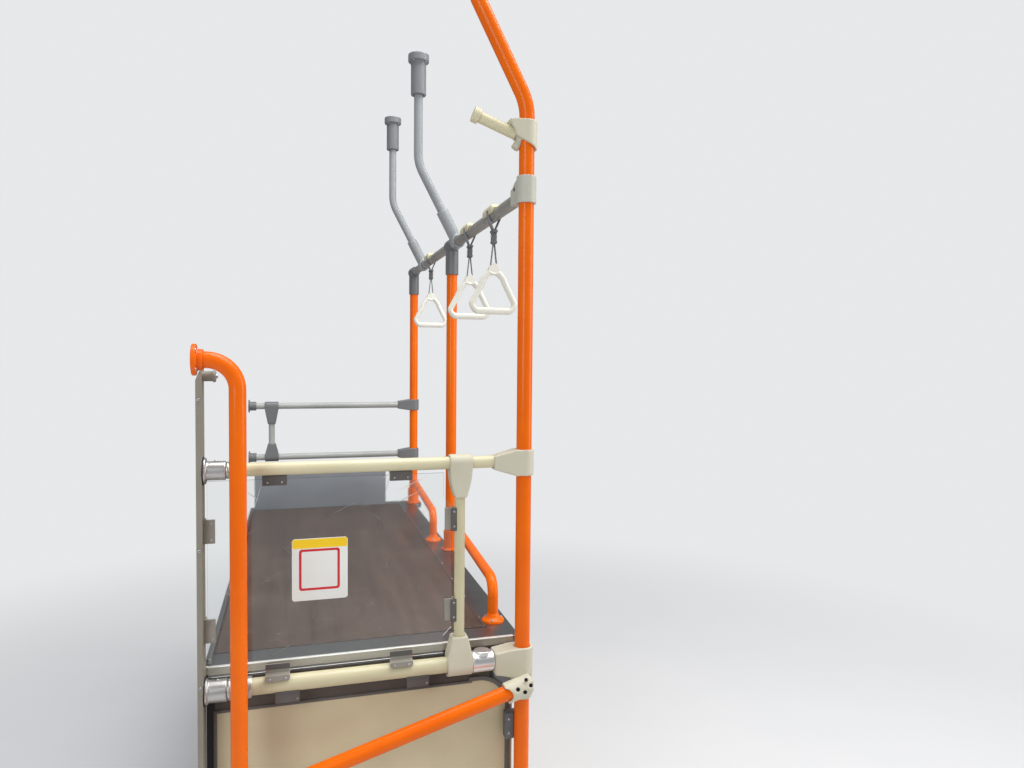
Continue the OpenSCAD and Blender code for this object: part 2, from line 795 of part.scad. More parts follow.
ceiling_flange_r = 32;
module ceiling_socket(y, r, r_tube, l, flange_h) {
  difference() {
    union() {
      bar_z(ceiling_z - flange_h, ceiling_z, -ceiling_dx, y, ceiling_flange_r);
      bar_z(ceiling_z - l, ceiling_z, -ceiling_dx, y, r);
    }
    bar_z(ceiling_z - l - 1, ceiling_z - socket_in, -ceiling_dx, y, r_tube + seat_gap);
  }
}
module ceiling_sockets() {
  color(GREY) {
    ceiling_socket(0, 22, stanchion_r, socket_l, 5);
    for (y = hanger_y)
      ceiling_socket(y, hanger_socket_r, hanger_d / 2, hanger_socket_l, hanger_flange_h);
  }
}

arm_rise = 20;
arm_r = 12.5;
arm_from = 29;
tee_r = 22.5;
tee_half = 32;
module overhead_tee() {
  color(IVORY) difference() {
    translate([0, 0, overhead_tee_z]) union() {
      intersection() {
        rotate([90, 0, 0]) linear_extrude(height = 3 * tee_r, center = true) polygon([
          [tee_r + 1, tee_half], [-tee_r, tee_half], [-43, 30], [-27, -6],
          [-tee_r, -8], [tee_r + 1, -tee_half]
        ]);
        linear_extrude(height = 3 * tee_half, center = true) union() {
          circle(r = tee_r);
          polygon([[0, tee_r], [-48, 17], [-48, -17], [0, -tee_r]]);
        }
      }
      translate([-16, 0, -12]) rotate([0, 214, 0]) cylinder(r = 9, h = 22);
    }
    bar_z(overhead_tee_z - 40, overhead_tee_z + 40, 0, 0, stanchion_r + seat_gap);
    translate([0, 0, overhead_tee_z - 8]) rotate([0, arm_rise - 90, 0])
      translate([0, 0, arm_from]) cylinder(r = arm_r + seat_gap, h = 40);
  }
}
module overhead_arm() {
  color(CREAM) translate([0, 0, overhead_tee_z - 8]) rotate([0, arm_rise - 90, 0]) {
    translate([0, 0, arm_from]) cylinder(r = arm_r, h = 116 - arm_from);
    translate([0, 0, 116]) cylinder(r = 17, h = 14);
  }
}

// Hand straps

belt_w = 25;
// cap over each belt: it grips the rail at its ends and leaves the belt free to swing
cap_l = 90;
cap_rise = strap_rail_d / 2 + 14;
cap_slot_low = strap_rail_d / 2 - 3;
cap_slot = belt_w / 2 + 2;
cap_r = strap_rail_d / 2 + 5;
cap_sag = 13;
cap_arc_r = (cap_l * cap_l / 4 + cap_sag * cap_sag) / (2 * cap_sag);
belt_t = 1.8;
belt_r = strap_rail_d / 2 + 0.8;
module strap_saddles() {
  color(CREAM) for (y = strap_y) difference() {
    intersection() {
      bar_y(y - cap_l / 2, y + cap_l / 2, 0, strap_rail_z + cap_rise - cap_r, cap_r);
      bar_x(-cap_r - 1, cap_r + 1, y, strap_rail_z + cap_rise - cap_arc_r, cap_arc_r);
      span([-cap_r - 1, y - cap_l, strap_rail_z],
        [cap_r + 1, y + cap_l, strap_rail_z + cap_rise + 1]);
    }
    bar_y(y - cap_l, y + cap_l, 0, strap_rail_z, strap_rail_d / 2 + 0.15);
    bar_y(y - cap_slot, y + cap_slot, 0, strap_rail_z, belt_r + belt_t + 0.7);
    span([-cap_r - 1, y - cap_slot, strap_rail_z - 1],
      [cap_r + 1, y + cap_slot, strap_rail_z + cap_slot_low]);
  }
}

// crown of the handle: two cheeks hold a roller, and the lower loop runs round it;
// a web with an arch below fills the fork of the side bars
crown_half = 10;
crown_z = handle_crown_z;
web_half = 6;
fork_r = 9;
fork_drop = (handle_bar_r + fork_r - handle_crown) / sin(handle_tilt);
web_foot = (handle_crown + fork_drop * sin(handle_tilt)) / cos(handle_tilt);
roller_r = 7;
loop_w = 12;
channel_half = loop_w / 2 + 0.8;
channel_r = roller_r + 0.8 + belt_t + 0.7;

clip_z1 = strap_rail_z - 36;
clip_z0 = clip_z1 - 36;
module strap_belt(y) {
  color(GREY) translate([0, y, 0]) {
    translate([0, 0, strap_rail_z]) rotate([90, 180, 0])
      webbing(belt_r, belt_t, 38, belt_w);
    span([-8, -belt_w / 2, clip_z1 - 6], [8, belt_w / 2, clip_z1]);
    span([-8, -8, clip_z0], [8, 8, clip_z1]);
    translate([0, 0, crown_z]) rotate([90, 0, 0])
      webbing(roller_r + 0.8, belt_t, clip_z0 + 7 - crown_z, loop_w);
  }
}
// the straight bars sit 1 mm inside the bends
bar_in = 1;
module handle_side_bar() {
  translate([handle_half, 0, handle_corner_z]) {
    ring_xz(handle_corner, handle_bar_r, -90, handle_tilt);
    rotate([0, -handle_tilt, 0]) translate([handle_corner, 0, -bar_in])
      cylinder(r = handle_bar_r - 0.06, h = handle_bar_len + 2 * bar_in);
  }
}
module strap_handle(y) {
  color(WHITE) translate([0, y, 0]) difference() {
    union() {
      handle_side_bar();
      mirror([1, 0, 0]) handle_side_bar();
      bar_x(-handle_half - bar_in, handle_half + bar_in, 0, handle_bottom_z,
        handle_bar_r - 0.06);
      bar_y(-crown_half, crown_half, 0, crown_z, crown_r);
      translate([0, web_half, crown_z]) rotate([90, 0, 0])
        linear_extrude(height = 2 * web_half)
          polygon([[-handle_crown, 0], [handle_crown, 0], [web_foot, -fork_drop],
            [-web_foot, -fork_drop]]);
    }
    bar_y(-crown_half - 1, crown_half + 1, 0, crown_z - fork_drop, fork_r + 0.6);
    difference() {
      union() {
        bar_y(-channel_half, channel_half, 0, crown_z, channel_r);
        span([-channel_r, -channel_half, crown_z],
          [channel_r, channel_half, crown_z + crown_r + 2]);
      }
      bar_y(-crown_half, crown_half, 0, crown_z, roller_r);
    }
  }
}
module strap_rear_belt() { strap_belt(strap_y[0]); }
module strap_rear_handle() { strap_handle(strap_y[0]); }
module strap_mid_belt() { strap_belt(strap_y[1]); }
module strap_mid_handle() { strap_handle(strap_y[1]); }
module strap_front_belt() { strap_belt(strap_y[2]); }
module strap_front_handle() { strap_handle(strap_y[2]); }

deck_tray();
deck_mat();
deck_rim();
base_top_frame();
base_legs();
base_cross_beams();
base_foot_plates();
wheel_arch();
rear_panel();
rear_panel_trim();
side_panel();
front_base_panel();
panel_clip();
wall_upright();
stanchion_foot();
stanchion_rear();
stanchion_rear_top();
deck_stanchions();
deck_feet();
upper_rail();
lower_rail();
guard_post();
post_tees();
stanchion_tees();
rail_sleeve();
wall_sockets();
rail_collars();
screen();
screen_clips();
sign_plate();
door_rail();
door_rail_lower();
door_rail_flange();
swivel_clamp();
aisle_risers();
aisle_bars();
front_rails();
front_tees();
front_wall_sockets();
front_panel();
strap_rail();
strap_rail_clamp();
pole_connectors();
hangers();
hanger_clamps();
ceiling_sockets();
overhead_tee();
overhead_arm();
strap_saddles();
strap_rear_belt();
strap_rear_handle();
strap_mid_belt();
strap_mid_handle();
strap_front_belt();
strap_front_handle();
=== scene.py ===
# %% [markdown]
# # A luggage rack bay from a city bus
#
# Inside many city buses a deck is built over a front wheel arch. Tubes fence it in: orange
# stanchions, a cream guard with a clear screen, low orange rails along the aisle, and a rail
# overhead with hand straps.
#
# The CAD model gives every size and every place. This lesson dresses it: castings get soft
# edges, sheets get hems and screws, straps become webbing, and each surface gets a material
# made of nodes. Modelling it all afresh in Blender would look as good, but it would drift away
# from the sizes that the moving parts need.

# %% Load the CAD model
import math

import bmesh
import bpy
import numpy as np
from mathutils import Matrix, Vector


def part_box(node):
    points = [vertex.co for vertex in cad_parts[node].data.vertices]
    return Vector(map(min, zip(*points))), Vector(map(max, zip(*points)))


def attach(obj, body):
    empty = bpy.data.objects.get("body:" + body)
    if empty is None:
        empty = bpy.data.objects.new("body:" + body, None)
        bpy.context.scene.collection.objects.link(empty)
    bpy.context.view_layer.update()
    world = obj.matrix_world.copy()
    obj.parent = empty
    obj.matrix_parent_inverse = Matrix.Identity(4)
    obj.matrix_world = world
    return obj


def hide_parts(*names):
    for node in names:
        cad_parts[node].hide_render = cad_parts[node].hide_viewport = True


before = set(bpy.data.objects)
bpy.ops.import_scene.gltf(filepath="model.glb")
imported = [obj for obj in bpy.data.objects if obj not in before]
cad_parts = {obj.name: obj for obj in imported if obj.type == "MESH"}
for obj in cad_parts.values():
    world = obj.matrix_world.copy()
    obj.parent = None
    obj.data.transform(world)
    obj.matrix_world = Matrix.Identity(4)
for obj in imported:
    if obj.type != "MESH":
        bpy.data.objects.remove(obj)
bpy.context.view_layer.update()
BAY = "bay"
MM = 0.001

# %% [markdown]
# ## Light and camera
#
# A studio picture of a product has big soft lamps and an empty pale room. A picture of a sky
# could give the same light, but it would show up in the chrome. Area lamps on three sides show
# form without hard shadows. The world gives an even fill, a little weaker in mirrored rays, and
# looks like plain paper where nothing stands. The camera stands at eye height, a step behind
# the bay, and looks a little to the right.


# %% Helpers for colours and nodes
def srgb(r, g, b):
    """A colour as a colour picker shows it, 0 to 255, in the linear values that nodes take."""
    return tuple((c / 255 / 12.92 if c <= 10 else ((c / 255 + 0.055) / 1.055) ** 2.4)
                 for c in (r, g, b)) + (1.0,)


def link(obj):
    bpy.context.scene.collection.objects.link(obj)
    return obj


def nodes_of(tree, family="ShaderNode"):
    """Empties a tree. Gives a function that adds a node, sets it and wires its inputs."""
    tree.nodes.clear()

    def node(kind, inputs=None, **props):
        n = tree.nodes.new(family + kind)
        for key, value in props.items():
            setattr(n, key, value)
        for key, value in (inputs or {}).items():
            socket = n.inputs[key]
            if isinstance(value, bpy.types.NodeSocket):
                tree.links.new(value, socket)
            else:
                socket.default_value = value
        return n
    return node


def maths(node, a, b, operation="MULTIPLY"):
    return node("Math", {0: a, 1: b}, operation=operation).outputs[0]


def ramp(node, value, start, end, to_start=0.0, to_end=1.0, shape="LINEAR"):
    return node("MapRange", {"Value": value, "From Min": start, "From Max": end,
                             "To Min": to_start, "To Max": to_end},
                interpolation_type=shape).outputs["Result"]


def blend(node, factor, a, b):
    """Two colours mixed. They go into the Mix node's inputs 6 and 7."""
    return node("Mix", {"Factor": factor, 6: a, 7: b}, data_type="RGBA").outputs[2]


def noise(node, where, scale, detail, **more):
    return node("TexNoise", {"Vector": where, "Scale": scale, "Detail": detail, **more}).outputs


def mapped(node, where, **change):
    return node("Mapping", {"Vector": where, **change}).outputs["Vector"]


def bumped(node, height, distance, strength=1.0):
    return node("Bump", {"Height": height, "Distance": distance,
                         "Strength": strength}).outputs["Normal"]


# %% World
FILL, LESS_WHEN_MIRRORED = 0.62, 0.24
PAPER = (0.80, 0.81, 0.82, 1)
world = bpy.data.worlds.new("studio")
bpy.context.scene.world = world
world.use_nodes = True
node = nodes_of(world.node_tree)
rays = node("LightPath").outputs
direct = maths(node, rays["Is Camera Ray"], rays["Is Transmission Ray"], "MAXIMUM")
strength = node("Math", {0: rays["Is Glossy Ray"], 1: -LESS_WHEN_MIRRORED, 2: FILL},
                operation="MULTIPLY_ADD")
fill = node("Background", {"Color": (0.66, 0.67, 0.70, 1), "Strength": strength.outputs[0]})
seen = node("Background", {"Color": PAPER, "Strength": 1.0})
either = node("MixShader", {0: direct, 1: fill.outputs[0], 2: seen.outputs[0]})
node("OutputWorld", {"Surface": either.outputs[0]})
print("world:", world.name)


# %% Lamps
def lamp(name, where, look_at, size, watts, tint=(1, 1, 1)):
    data = bpy.data.lights.new(name, "AREA")
    data.shape = "RECTANGLE"
    data.size, data.size_y = size
    data.energy = watts
    data.color = tint
    obj = link(bpy.data.objects.new(name, data))
    obj.location = where
    obj.rotation_mode = "QUATERNION"
    obj.rotation_quaternion = (Vector(look_at) - Vector(where)).to_track_quat("-Z", "Y")


lamp("ceiling_softbox", (0.7, 0.0, 5.2), (-0.2, 0.8, 0.9), (3.2, 4.4), 205)
lamp("aisle_softbox", (2.8, -0.6, 1.9), (-0.2, 0.8, 1.0), (1.6, 2.2), 36, (1.0, 0.97, 0.93))
lamp("rear_softbox", (-2.2, -2.4, 2.1), (-0.3, 0.5, 1.0), (1.4, 2.0), 36, (0.95, 0.98, 1.0))
lamp("strip_light", (0.55, 0.2, 3.3), (-0.2, 0.3, 0.9), (0.16, 2.6), 15)

# %% Camera, worked out from straight lines in the photograph
FOCAL_PIXELS, PHOTO_WIDTH, SENSOR = 727.0, 1024, 36
CAMERA_PLACE = (-0.4882, -1.5468, 1.438)
YAW, PITCH, ROLL = (math.radians(degrees) for degrees in (16.526, 2.120, 0.503))
camera = link(bpy.data.objects.new("camera", bpy.data.cameras.new("camera")))
camera.data.sensor_width = SENSOR
camera.data.lens = FOCAL_PIXELS / PHOTO_WIDTH * SENSOR
ahead = Vector((math.sin(YAW) * math.cos(PITCH), math.cos(YAW) * math.cos(PITCH),
                -math.sin(PITCH)))
level = Vector((math.cos(YAW), -math.sin(YAW), 0))
upward = level.cross(ahead)
side = level * math.cos(ROLL) + upward * math.sin(ROLL)
over = upward * math.cos(ROLL) - level * math.sin(ROLL)
turn = Matrix((side, over, -ahead)).transposed().to_4x4()
camera.matrix_world = Matrix.Translation(CAMERA_PLACE) @ turn
camera.data.clip_start = 0.05
bpy.context.scene.camera = camera
bpy.context.scene.view_settings.view_transform = "Standard"
print("focal length:", round(camera.data.lens, 1), "mm")

# %% [markdown]
# ## Finishes
#
# Real paint is never one flat colour. Powder coat has a faint orange peel, its tone shifts in
# soft patches, and use leaves fine scratches and specks. Painted pictures could show this, but
# they need an unwrapped mesh and blur when seen close. Noise on Object coordinates needs
# neither, and stays in place when a strap swings. Two node groups give the effects, and each
# material sets its own amounts.


# %% Shared effect: patches, scratches and specks
def group(name, inputs, outputs):
    tree = bpy.data.node_groups.new(name, "ShaderNodeTree")
    for label, kind, value in inputs:
        s = tree.interface.new_socket(label, in_out="INPUT", socket_type="NodeSocket" + kind)
        if value is not None:
            s.default_value = value
    for label in outputs:
        tree.interface.new_socket(label, in_out="OUTPUT", socket_type="NodeSocketFloat")
    node = nodes_of(tree)
    start = tree.nodes.new("NodeGroupInput")
    end = tree.nodes.new("NodeGroupOutput")

    def give(label, socket):
        tree.links.new(socket, end.inputs[label])
    return tree, node, start.outputs, give


marks, node, given, give = group(
    "handling",
    [("Vector", "Vector", None), ("Patch size", "Float", 6.0), ("Scratch size", "Float", 40.0)],
    ["Patches", "Scratches", "Specks"])
where = given["Vector"]
give("Patches", noise(node, where, given["Patch size"], 4.0, Roughness=0.55)["Fac"])
lines = node("TexVoronoi", {"Vector": noise(node, where, 3.0, 1.0)["Color"],
                            "Scale": given["Scratch size"]}, feature="DISTANCE_TO_EDGE")
thin = ramp(node, lines.outputs["Distance"], 0.0, 0.02, 1.0, 0.0)
gate = ramp(node, noise(node, where, 17.0, 2.0)["Fac"], 0.52, 0.62)
give("Scratches", maths(node, thin, gate))
give("Specks", ramp(node, noise(node, where, 900.0, 2.0)["Fac"], 0.62, 0.75))
print("node group:", marks.name)

# %% Shared effect: fine surface texture
texture, node, given, give = group(
    "fine_texture",
    [("Vector", "Vector", None), ("Peel size", "Float", 260.0), ("Peel", "Float", 0.5),
     ("Grain size", "Float", 900.0), ("Grain", "Float", 0.02)],
    ["Height"])
peel, grain = (maths(node, noise(node, given["Vector"], given[kind + " size"], 1.0)["Fac"],
                     given[kind]) for kind in ("Peel", "Grain"))
give("Height", maths(node, peel, grain, "ADD"))
print("node group:", texture.name)


# %% Recipe for painted, moulded and metal surfaces
def new_finish(name):
    """A bare material, the function that adds its nodes, and its Object coordinates."""
    mat = bpy.data.materials.new(name)
    mat.use_nodes = True
    node = nodes_of(mat.node_tree)
    return mat, node, node("TexCoord").outputs["Object"]


def principled(node, inputs):
    shader = node("BsdfPrincipled", inputs)
    node("OutputMaterial", {"Surface": shader.outputs["BSDF"]})


def coated(name, colour, shade, rough, coat=0.0, metallic=0.0, peel=260.0, peel_amount=0.5,
           bump=0.00008, patch=6.0, scratch=0.15, stretch=None, shine=0.5):
    """Colour with patches of shade, pale scratches and a texture. stretch brushes it."""
    mat, node, where = new_finish(name)
    m = node("Group", {"Vector": where, "Patch size": patch}, node_tree=marks).outputs
    brushed = mapped(node, where, Scale=stretch) if stretch else where
    fine = node("Group", {"Vector": brushed, "Peel size": peel, "Peel": peel_amount},
                node_tree=texture)
    base = blend(node, ramp(node, m["Patches"], 0.35, 0.7), srgb(*colour), srgb(*shade))
    pale = srgb(*[min(255, c + 34) for c in colour])
    principled(node, {"Base Color": blend(node, maths(node, m["Scratches"], scratch), base, pale),
                      "Roughness": ramp(node, m["Patches"], 0.3, 0.75, rough - 0.05, rough + 0.09),
                      "Normal": bumped(node, fine.outputs["Height"], bump),
                      "Metallic": metallic, "Coat Weight": coat, "Coat Roughness": 0.12,
                      "Specular IOR Level": shine})
    return mat


# %% Paints and plastics
orange = coated("orange_powder_coat", (242, 110, 0), (233, 99, 0), 0.30, coat=0.28, shine=0.12,
                peel_amount=0.25)
ivory = coated("ivory_cast", (206, 201, 180), (196, 190, 168), 0.46, peel=500.0,
               peel_amount=0.7)
grey_ivory = coated("greyed_ivory_cast", (192, 191, 177), (182, 181, 167), 0.46, peel=500.0)
# The wall upright's ivory is darkened to painted shade.
shade_painted_ivory = coated("ivory_trim_painted_shade", (145, 140, 127), (134, 129, 116), 0.46)
cream = coated("cream_tube", (217, 209, 175), (207, 199, 163), 0.36, coat=0.12,
               peel_amount=0.25)
# The lower rail and the guard post take a darker cream, which is painted shade.
shade_painted_cream = coated("cream_tube_painted_shade", (204, 196, 161), (194, 186, 150), 0.36, coat=0.12,
                    peel_amount=0.25)
cream_panel = coated("cream_laminate", (206, 192, 158), (196, 181, 147), 0.5, peel=420.0)
grey = coated("grey_paint", (126, 128, 131), (114, 116, 119), 0.42, coat=0.1)
blue_grey = coated("blue_grey_paint", (132, 136, 142), (120, 124, 131), 0.4, coat=0.1)
tee_grey = coated("grey_tee_paint", (113, 114, 115), (103, 104, 105), 0.42, coat=0.1)
rail_paint = coated("pale_rail_paint", (172, 174, 170), (160, 162, 158), 0.4, coat=0.1)
pale_grey = coated("pale_grey_paint", (156, 160, 162), (144, 148, 150), 0.40, coat=0.1,
                   peel_amount=0.25)
rail_grey = coated("worn_grey_tube", (148, 144, 136), (130, 126, 118), 0.34, coat=0.1,
                   scratch=0.4)
dark = coated("dark_plastic", (44, 44, 46), (34, 34, 36), 0.55, peel=700.0, peel_amount=1.0,
              bump=0.0002)
grey_plastic = coated("grey_plastic", (108, 108, 110), (92, 92, 94), 0.5)
trim_grey = coated("grey_brown_trim", (96, 92, 88), (82, 78, 75), 0.55)
rubber = coated("black_rubber", (34, 34, 35), (24, 24, 25), 0.7, peel=500.0, bump=0.0002)
brown_rubber = coated("brown_rubber", (84, 75, 68), (70, 63, 57), 0.7, peel=500.0)
white_plastic = coated("handle_plastic", (238, 237, 226), (228, 226, 212), 0.3, coat=0.2)
sign_white = coated("sign_white", (232, 232, 226), (224, 223, 214), 0.34, coat=0.2)
sign_yellow = coated("sign_yellow", (246, 206, 20), (238, 194, 12), 0.34, coat=0.2)
sign_red = coated("sign_red", (205, 32, 44), (190, 24, 36), 0.34, coat=0.2)
print("paints and plastics:", len(bpy.data.materials))

# %% Metals
aluminium = coated("cast_aluminium", (248, 248, 246), (230, 230, 228), 0.34, metallic=1.0,
                   peel=500.0, scratch=0.4)
dull_aluminium = coated("dull_cast_aluminium", (200, 199, 196), (184, 183, 180), 0.38,
                        metallic=1.0, peel=500.0, scratch=0.4)
steel = coated("brushed_steel", (150, 150, 149), (128, 128, 127), 0.34, metallic=1.0,
               scratch=0.5, stretch=(60.0, 1.5, 60.0), peel=30.0)
clip_metal = coated("clip_metal", (160, 156, 145), (144, 140, 130), 0.42, metallic=0.4,
                    peel=500.0)
lip_metal = coated("lip_metal", (162, 155, 141), (146, 139, 126), 0.42, metallic=0.3,
                   stretch=(1.5, 60.0, 60.0), peel=30.0)
# A near-white strip along the lip's top: a painted highlight, with some real shine from its metal.
lip_painted_highlight = coated("lip_painted_highlight", (244, 241, 236), (226, 223, 218), 0.34, metallic=0.5,
                     peel=500.0)
screw_steel = coated("screw_steel", (200, 200, 202), (172, 172, 174), 0.28, metallic=1.0,
                     patch=300.0)
black_steel = coated("blackened_steel", (52, 52, 55), (38, 38, 41), 0.4, metallic=0.7,
                     patch=300.0)
print("with metals:", len(bpy.data.materials))

# %% Wood-grain vinyl for the deck
vinyl, node, where = new_finish("wood_grain_vinyl")
m = node("Group", {"Vector": where, "Patch size": 4.0}, node_tree=marks).outputs
figure = noise(node, mapped(node, where, Scale=(26.0, 1.4, 26.0)), 1.0, 8.0, Roughness=0.62,
               Distortion=0.6)["Fac"]
pores = noise(node, mapped(node, where, Scale=(420.0, 16.0, 420.0)), 1.0, 3.0)["Fac"]
wood = blend(node, ramp(node, figure, 0.32, 0.68), srgb(61, 46, 38), srgb(86, 68, 58))
worn = blend(node, ramp(node, m["Patches"], 0.45, 0.75, 0.0, 0.35), wood, srgb(108, 93, 83))
scuffed = blend(node, maths(node, m["Scratches"], 0.5), worn, srgb(158, 148, 142))
principled(node, {"Base Color": scuffed, "Normal": bumped(node, pores, 0.0003),
                  "Roughness": ramp(node, m["Patches"], 0.0, 1.0, 0.34, 0.56),
                  "Specular IOR Level": 0.32})
print("made", vinyl.name)

# %% Webbing for the straps: yarns in a herringbone
HALF_BELT, YARNS = 0.0125, 2600.0
webbing, node, where = new_finish("grey_webbing")
m = node("Group", {"Vector": where}, node_tree=marks).outputs
xyz = node("SeparateXYZ", {"Vector": where}).outputs
slant = maths(node, xyz["Z"], maths(node, xyz["Y"], HALF_BELT, "PINGPONG"), "ADD")
wave = node("Math", {0: maths(node, slant, YARNS)}, operation="SINE").outputs[0]
yarn = ramp(node, wave, -1.0, 1.0)
cloth = blend(node, yarn, srgb(104, 104, 108), srgb(168, 168, 170))
principled(node, {"Base Color": blend(node, m["Specks"], cloth, srgb(196, 194, 188)),
                  "Roughness": ramp(node, m["Patches"], 0.0, 1.0, 0.7, 0.9),
                  "Normal": bumped(node, yarn, 0.0004)})
print("made", webbing.name)

# %% Clear sheet of the screen, with long straight pale scratches
clear, node, where = new_finish("scratched_clear_sheet")
m = node("Group", {"Vector": where}, node_tree=marks).outputs
streaks = 0.0
for turned, scale in ((0.45, (5.0, 1.0, 420.0)), (-0.7, (7.0, 1.0, 520.0)),
                      (1.3, (6.0, 1.0, 460.0))):
    along = mapped(node, mapped(node, where, Rotation=(0, turned, 0)), Scale=scale)
    line = ramp(node, noise(node, along, 1.0, 1.0)["Fac"], 0.73, 0.80)
    streaks = maths(node, streaks, line, "MAXIMUM")
scored = ramp(node, streaks, 0.0, 1.0, 0.03, 0.42)
hazy = ramp(node, m["Patches"], 0.5, 0.8, 0.0, 0.04)
principled(node, {"Base Color": (0.95, 0.97, 0.965, 1), "IOR": 1.49,
                  "Roughness": maths(node, scored, hazy, "ADD"),
                  "Normal": bumped(node, streaks, 0.00003, 0.5),
                  "Metallic": 0.0, "Transmission Weight": 1.0})
print("made", clear.name)

# %% Which finish each CAD node takes
STRAPS = [f"strap_{where}" for where in ("rear", "mid", "front")]
finish = {
    orange: ["stanchion_foot", "stanchion_rear", "stanchion_rear_top", "deck_stanchions",
             "deck_feet", "door_rail", "door_rail_lower", "door_rail_flange", "aisle_risers",
             "aisle_bars"],
    shade_painted_ivory: ["wall_upright"],
    ivory: ["post_tees", "stanchion_tees", "swivel_clamp", "overhead_tee"],
    grey_ivory: ["strap_rail_clamp"],
    cream: ["upper_rail", "overhead_arm", "strap_saddles"],
    shade_painted_cream: ["lower_rail", "guard_post"],
    cream_panel: ["rear_panel", "side_panel", "front_base_panel"],
    grey: ["ceiling_sockets", "base_top_frame", "base_legs", "base_cross_beams",
           "base_foot_plates"],
    tee_grey: ["pole_connectors", "front_tees", "front_wall_sockets"],
    clip_metal: ["screen_clips"],
    blue_grey: ["front_panel"],
    rail_paint: ["front_rails"],
    rail_grey: ["strap_rail"],
    webbing: [strap + "_belt" for strap in STRAPS],
    pale_grey: ["hangers", "hanger_clamps"],
    dark: ["wheel_arch"],
    grey_plastic: ["panel_clip"],
    vinyl: ["deck_mat"],
    trim_grey: ["rear_panel_trim"],
    white_plastic: [strap + "_handle" for strap in STRAPS],
    sign_white: ["sign_plate"],
    clear: ["screen"],
    aluminium: ["rail_sleeve"],
    dull_aluminium: ["wall_sockets", "rail_collars"],
    steel: ["deck_tray", "deck_rim"],
}
finish_of = {}
for mat, names in finish.items():
    for n in names:
        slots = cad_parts[n].data.materials
        slots.clear()
        slots.append(mat)
        finish_of[n] = mat
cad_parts["screen"].visible_shadow = False    # a clear sheet lets the light through
print("CAD nodes with a finish:", len(finish_of), "of", len(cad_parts))

# %% [markdown]
# ## Where things are
#
# Screws and trim sit on other pieces. Their places could be typed in, but would then be wrong
# as soon as a size changes in the CAD model. So most places come from the boxes of the CAD
# nodes, and only the small distances from there are given here.


# %% Places taken from the CAD
def low(node):
    return Vector(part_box(node)[0])


def high(node):
    return Vector(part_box(node)[1])


def mid(node):
    return (low(node) + high(node)) / 2


STANCHION_R, HANGER_R, UPRIGHT, MAT = 17, 13.5, 10, 2     # radii and thicknesses in millimetres
upper_z, lower_z = mid("upper_rail").z, mid("lower_rail").z
deck_z = high("deck_mat").z - MAT * MM
rail_z = mid("strap_rail").z
wall_x = low("wall_upright").x
upright_x = wall_x + UPRIGHT * MM
post_x = mid("guard_post").x
pole_y = [low("deck_stanchions").y + STANCHION_R * MM,
          high("deck_stanchions").y - STANCHION_R * MM]
ceiling_z = high("ceiling_sockets").z
ceiling_x = mid("ceiling_sockets").x
hanger_y = [low("hangers").y + HANGER_R * MM, high("hangers").y - HANGER_R * MM]
strap_y = {strap: mid(strap + "_handle").y for strap in STRAPS}
print("rails at", round(upper_z, 3), round(lower_z, 3), "deck at", round(deck_z, 3))

# %% [markdown]
# ## Ways of working
#
# * `soft` copies a CAD casting, remeshes it and relaxes it, so that its edges get the small
#   radius that a cast and painted part has. A Bevel modifier would tear here, because the
#   casting's round and flat faces meet in long thin triangles.
# * `hemmed` copies a sheet or box and bevels its edges. These are straight and clean, so the
#   Bevel modifier gives the folded look with few faces.
# * `lathe` turns a profile, `sweep` draws a section along a path, `block` is a box.
# * `fasteners` puts screw heads on points with Geometry Nodes. One head is modelled, and each
#   point says which way it looks and how big it is, so a hundred screws cost one line.


# %% Meshes
def mesh_object(name, bm):
    mesh = bpy.data.meshes.new(name)
    bmesh.ops.recalc_face_normals(bm, faces=bm.faces)
    bm.to_mesh(mesh)
    bm.free()
    return link(bpy.data.objects.new(name, mesh))


def copy_of(node, name):
    """A copy of a CAD node with its loose triangles joined."""
    bm = bmesh.new()
    bm.from_mesh(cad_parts[node].data)
    bmesh.ops.remove_doubles(bm, verts=bm.verts, dist=0.01 * MM)
    return mesh_object(name, bm)


def bake(obj):
    """Turns a piece's modifiers into plain mesh."""
    graph = bpy.context.evaluated_depsgraph_get()
    plain = bpy.data.meshes.new_from_object(obj.evaluated_get(graph))
    obj.modifiers.clear()
    obj.data = plain
    return obj


def changed(obj, kind, **settings):
    m = obj.modifiers.new("change", kind)
    for key, value in settings.items():
        setattr(m, key, value)
    return bake(obj)


def cut(obj, tools):
    """Cuts plain tools out of a piece, and throws the tools away."""
    for tool in tools:
        changed(obj, "BOOLEAN", operation="DIFFERENCE", solver="EXACT", object=tool)
        bpy.data.objects.remove(tool)
    return obj


def even(obj, voxel):
    return changed(obj, "REMESH", mode="VOXEL", voxel_size=voxel * MM, adaptivity=0.0)


def relaxed(obj, rounds):
    return changed(obj, "SMOOTH", factor=0.5, iterations=rounds)


def settle(obj, material, body=BAY, nodes=(), angle=35.0):
    """Sets finish and shading, parents the piece to its body and hides the nodes it stands for."""
    obj.data.materials.clear()
    obj.data.materials.append(material)
    obj.data.polygons.foreach_set("material_index", [0] * len(obj.data.polygons))
    obj.data.shade_smooth()
    obj.data.set_sharp_from_angle(angle=math.radians(angle))
    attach(obj, body)
    if nodes:
        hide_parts(*nodes)
    print(obj.name, len(obj.data.polygons), "faces")


# %% Castings with soft edges, sheets and boxes with small bevels
def soft(node, voxel=1.5, rounds=6, tools=(), shape=None):
    """shape, if given, moves each point of the even mesh before it is relaxed."""
    obj = even(cut(copy_of(node, "soft_" + node), tools), voxel)
    if shape:
        for v in obj.data.vertices:
            v.co = shape(v.co)
    relaxed(obj, rounds)
    settle(obj, finish_of[node], nodes=[node], angle=50)


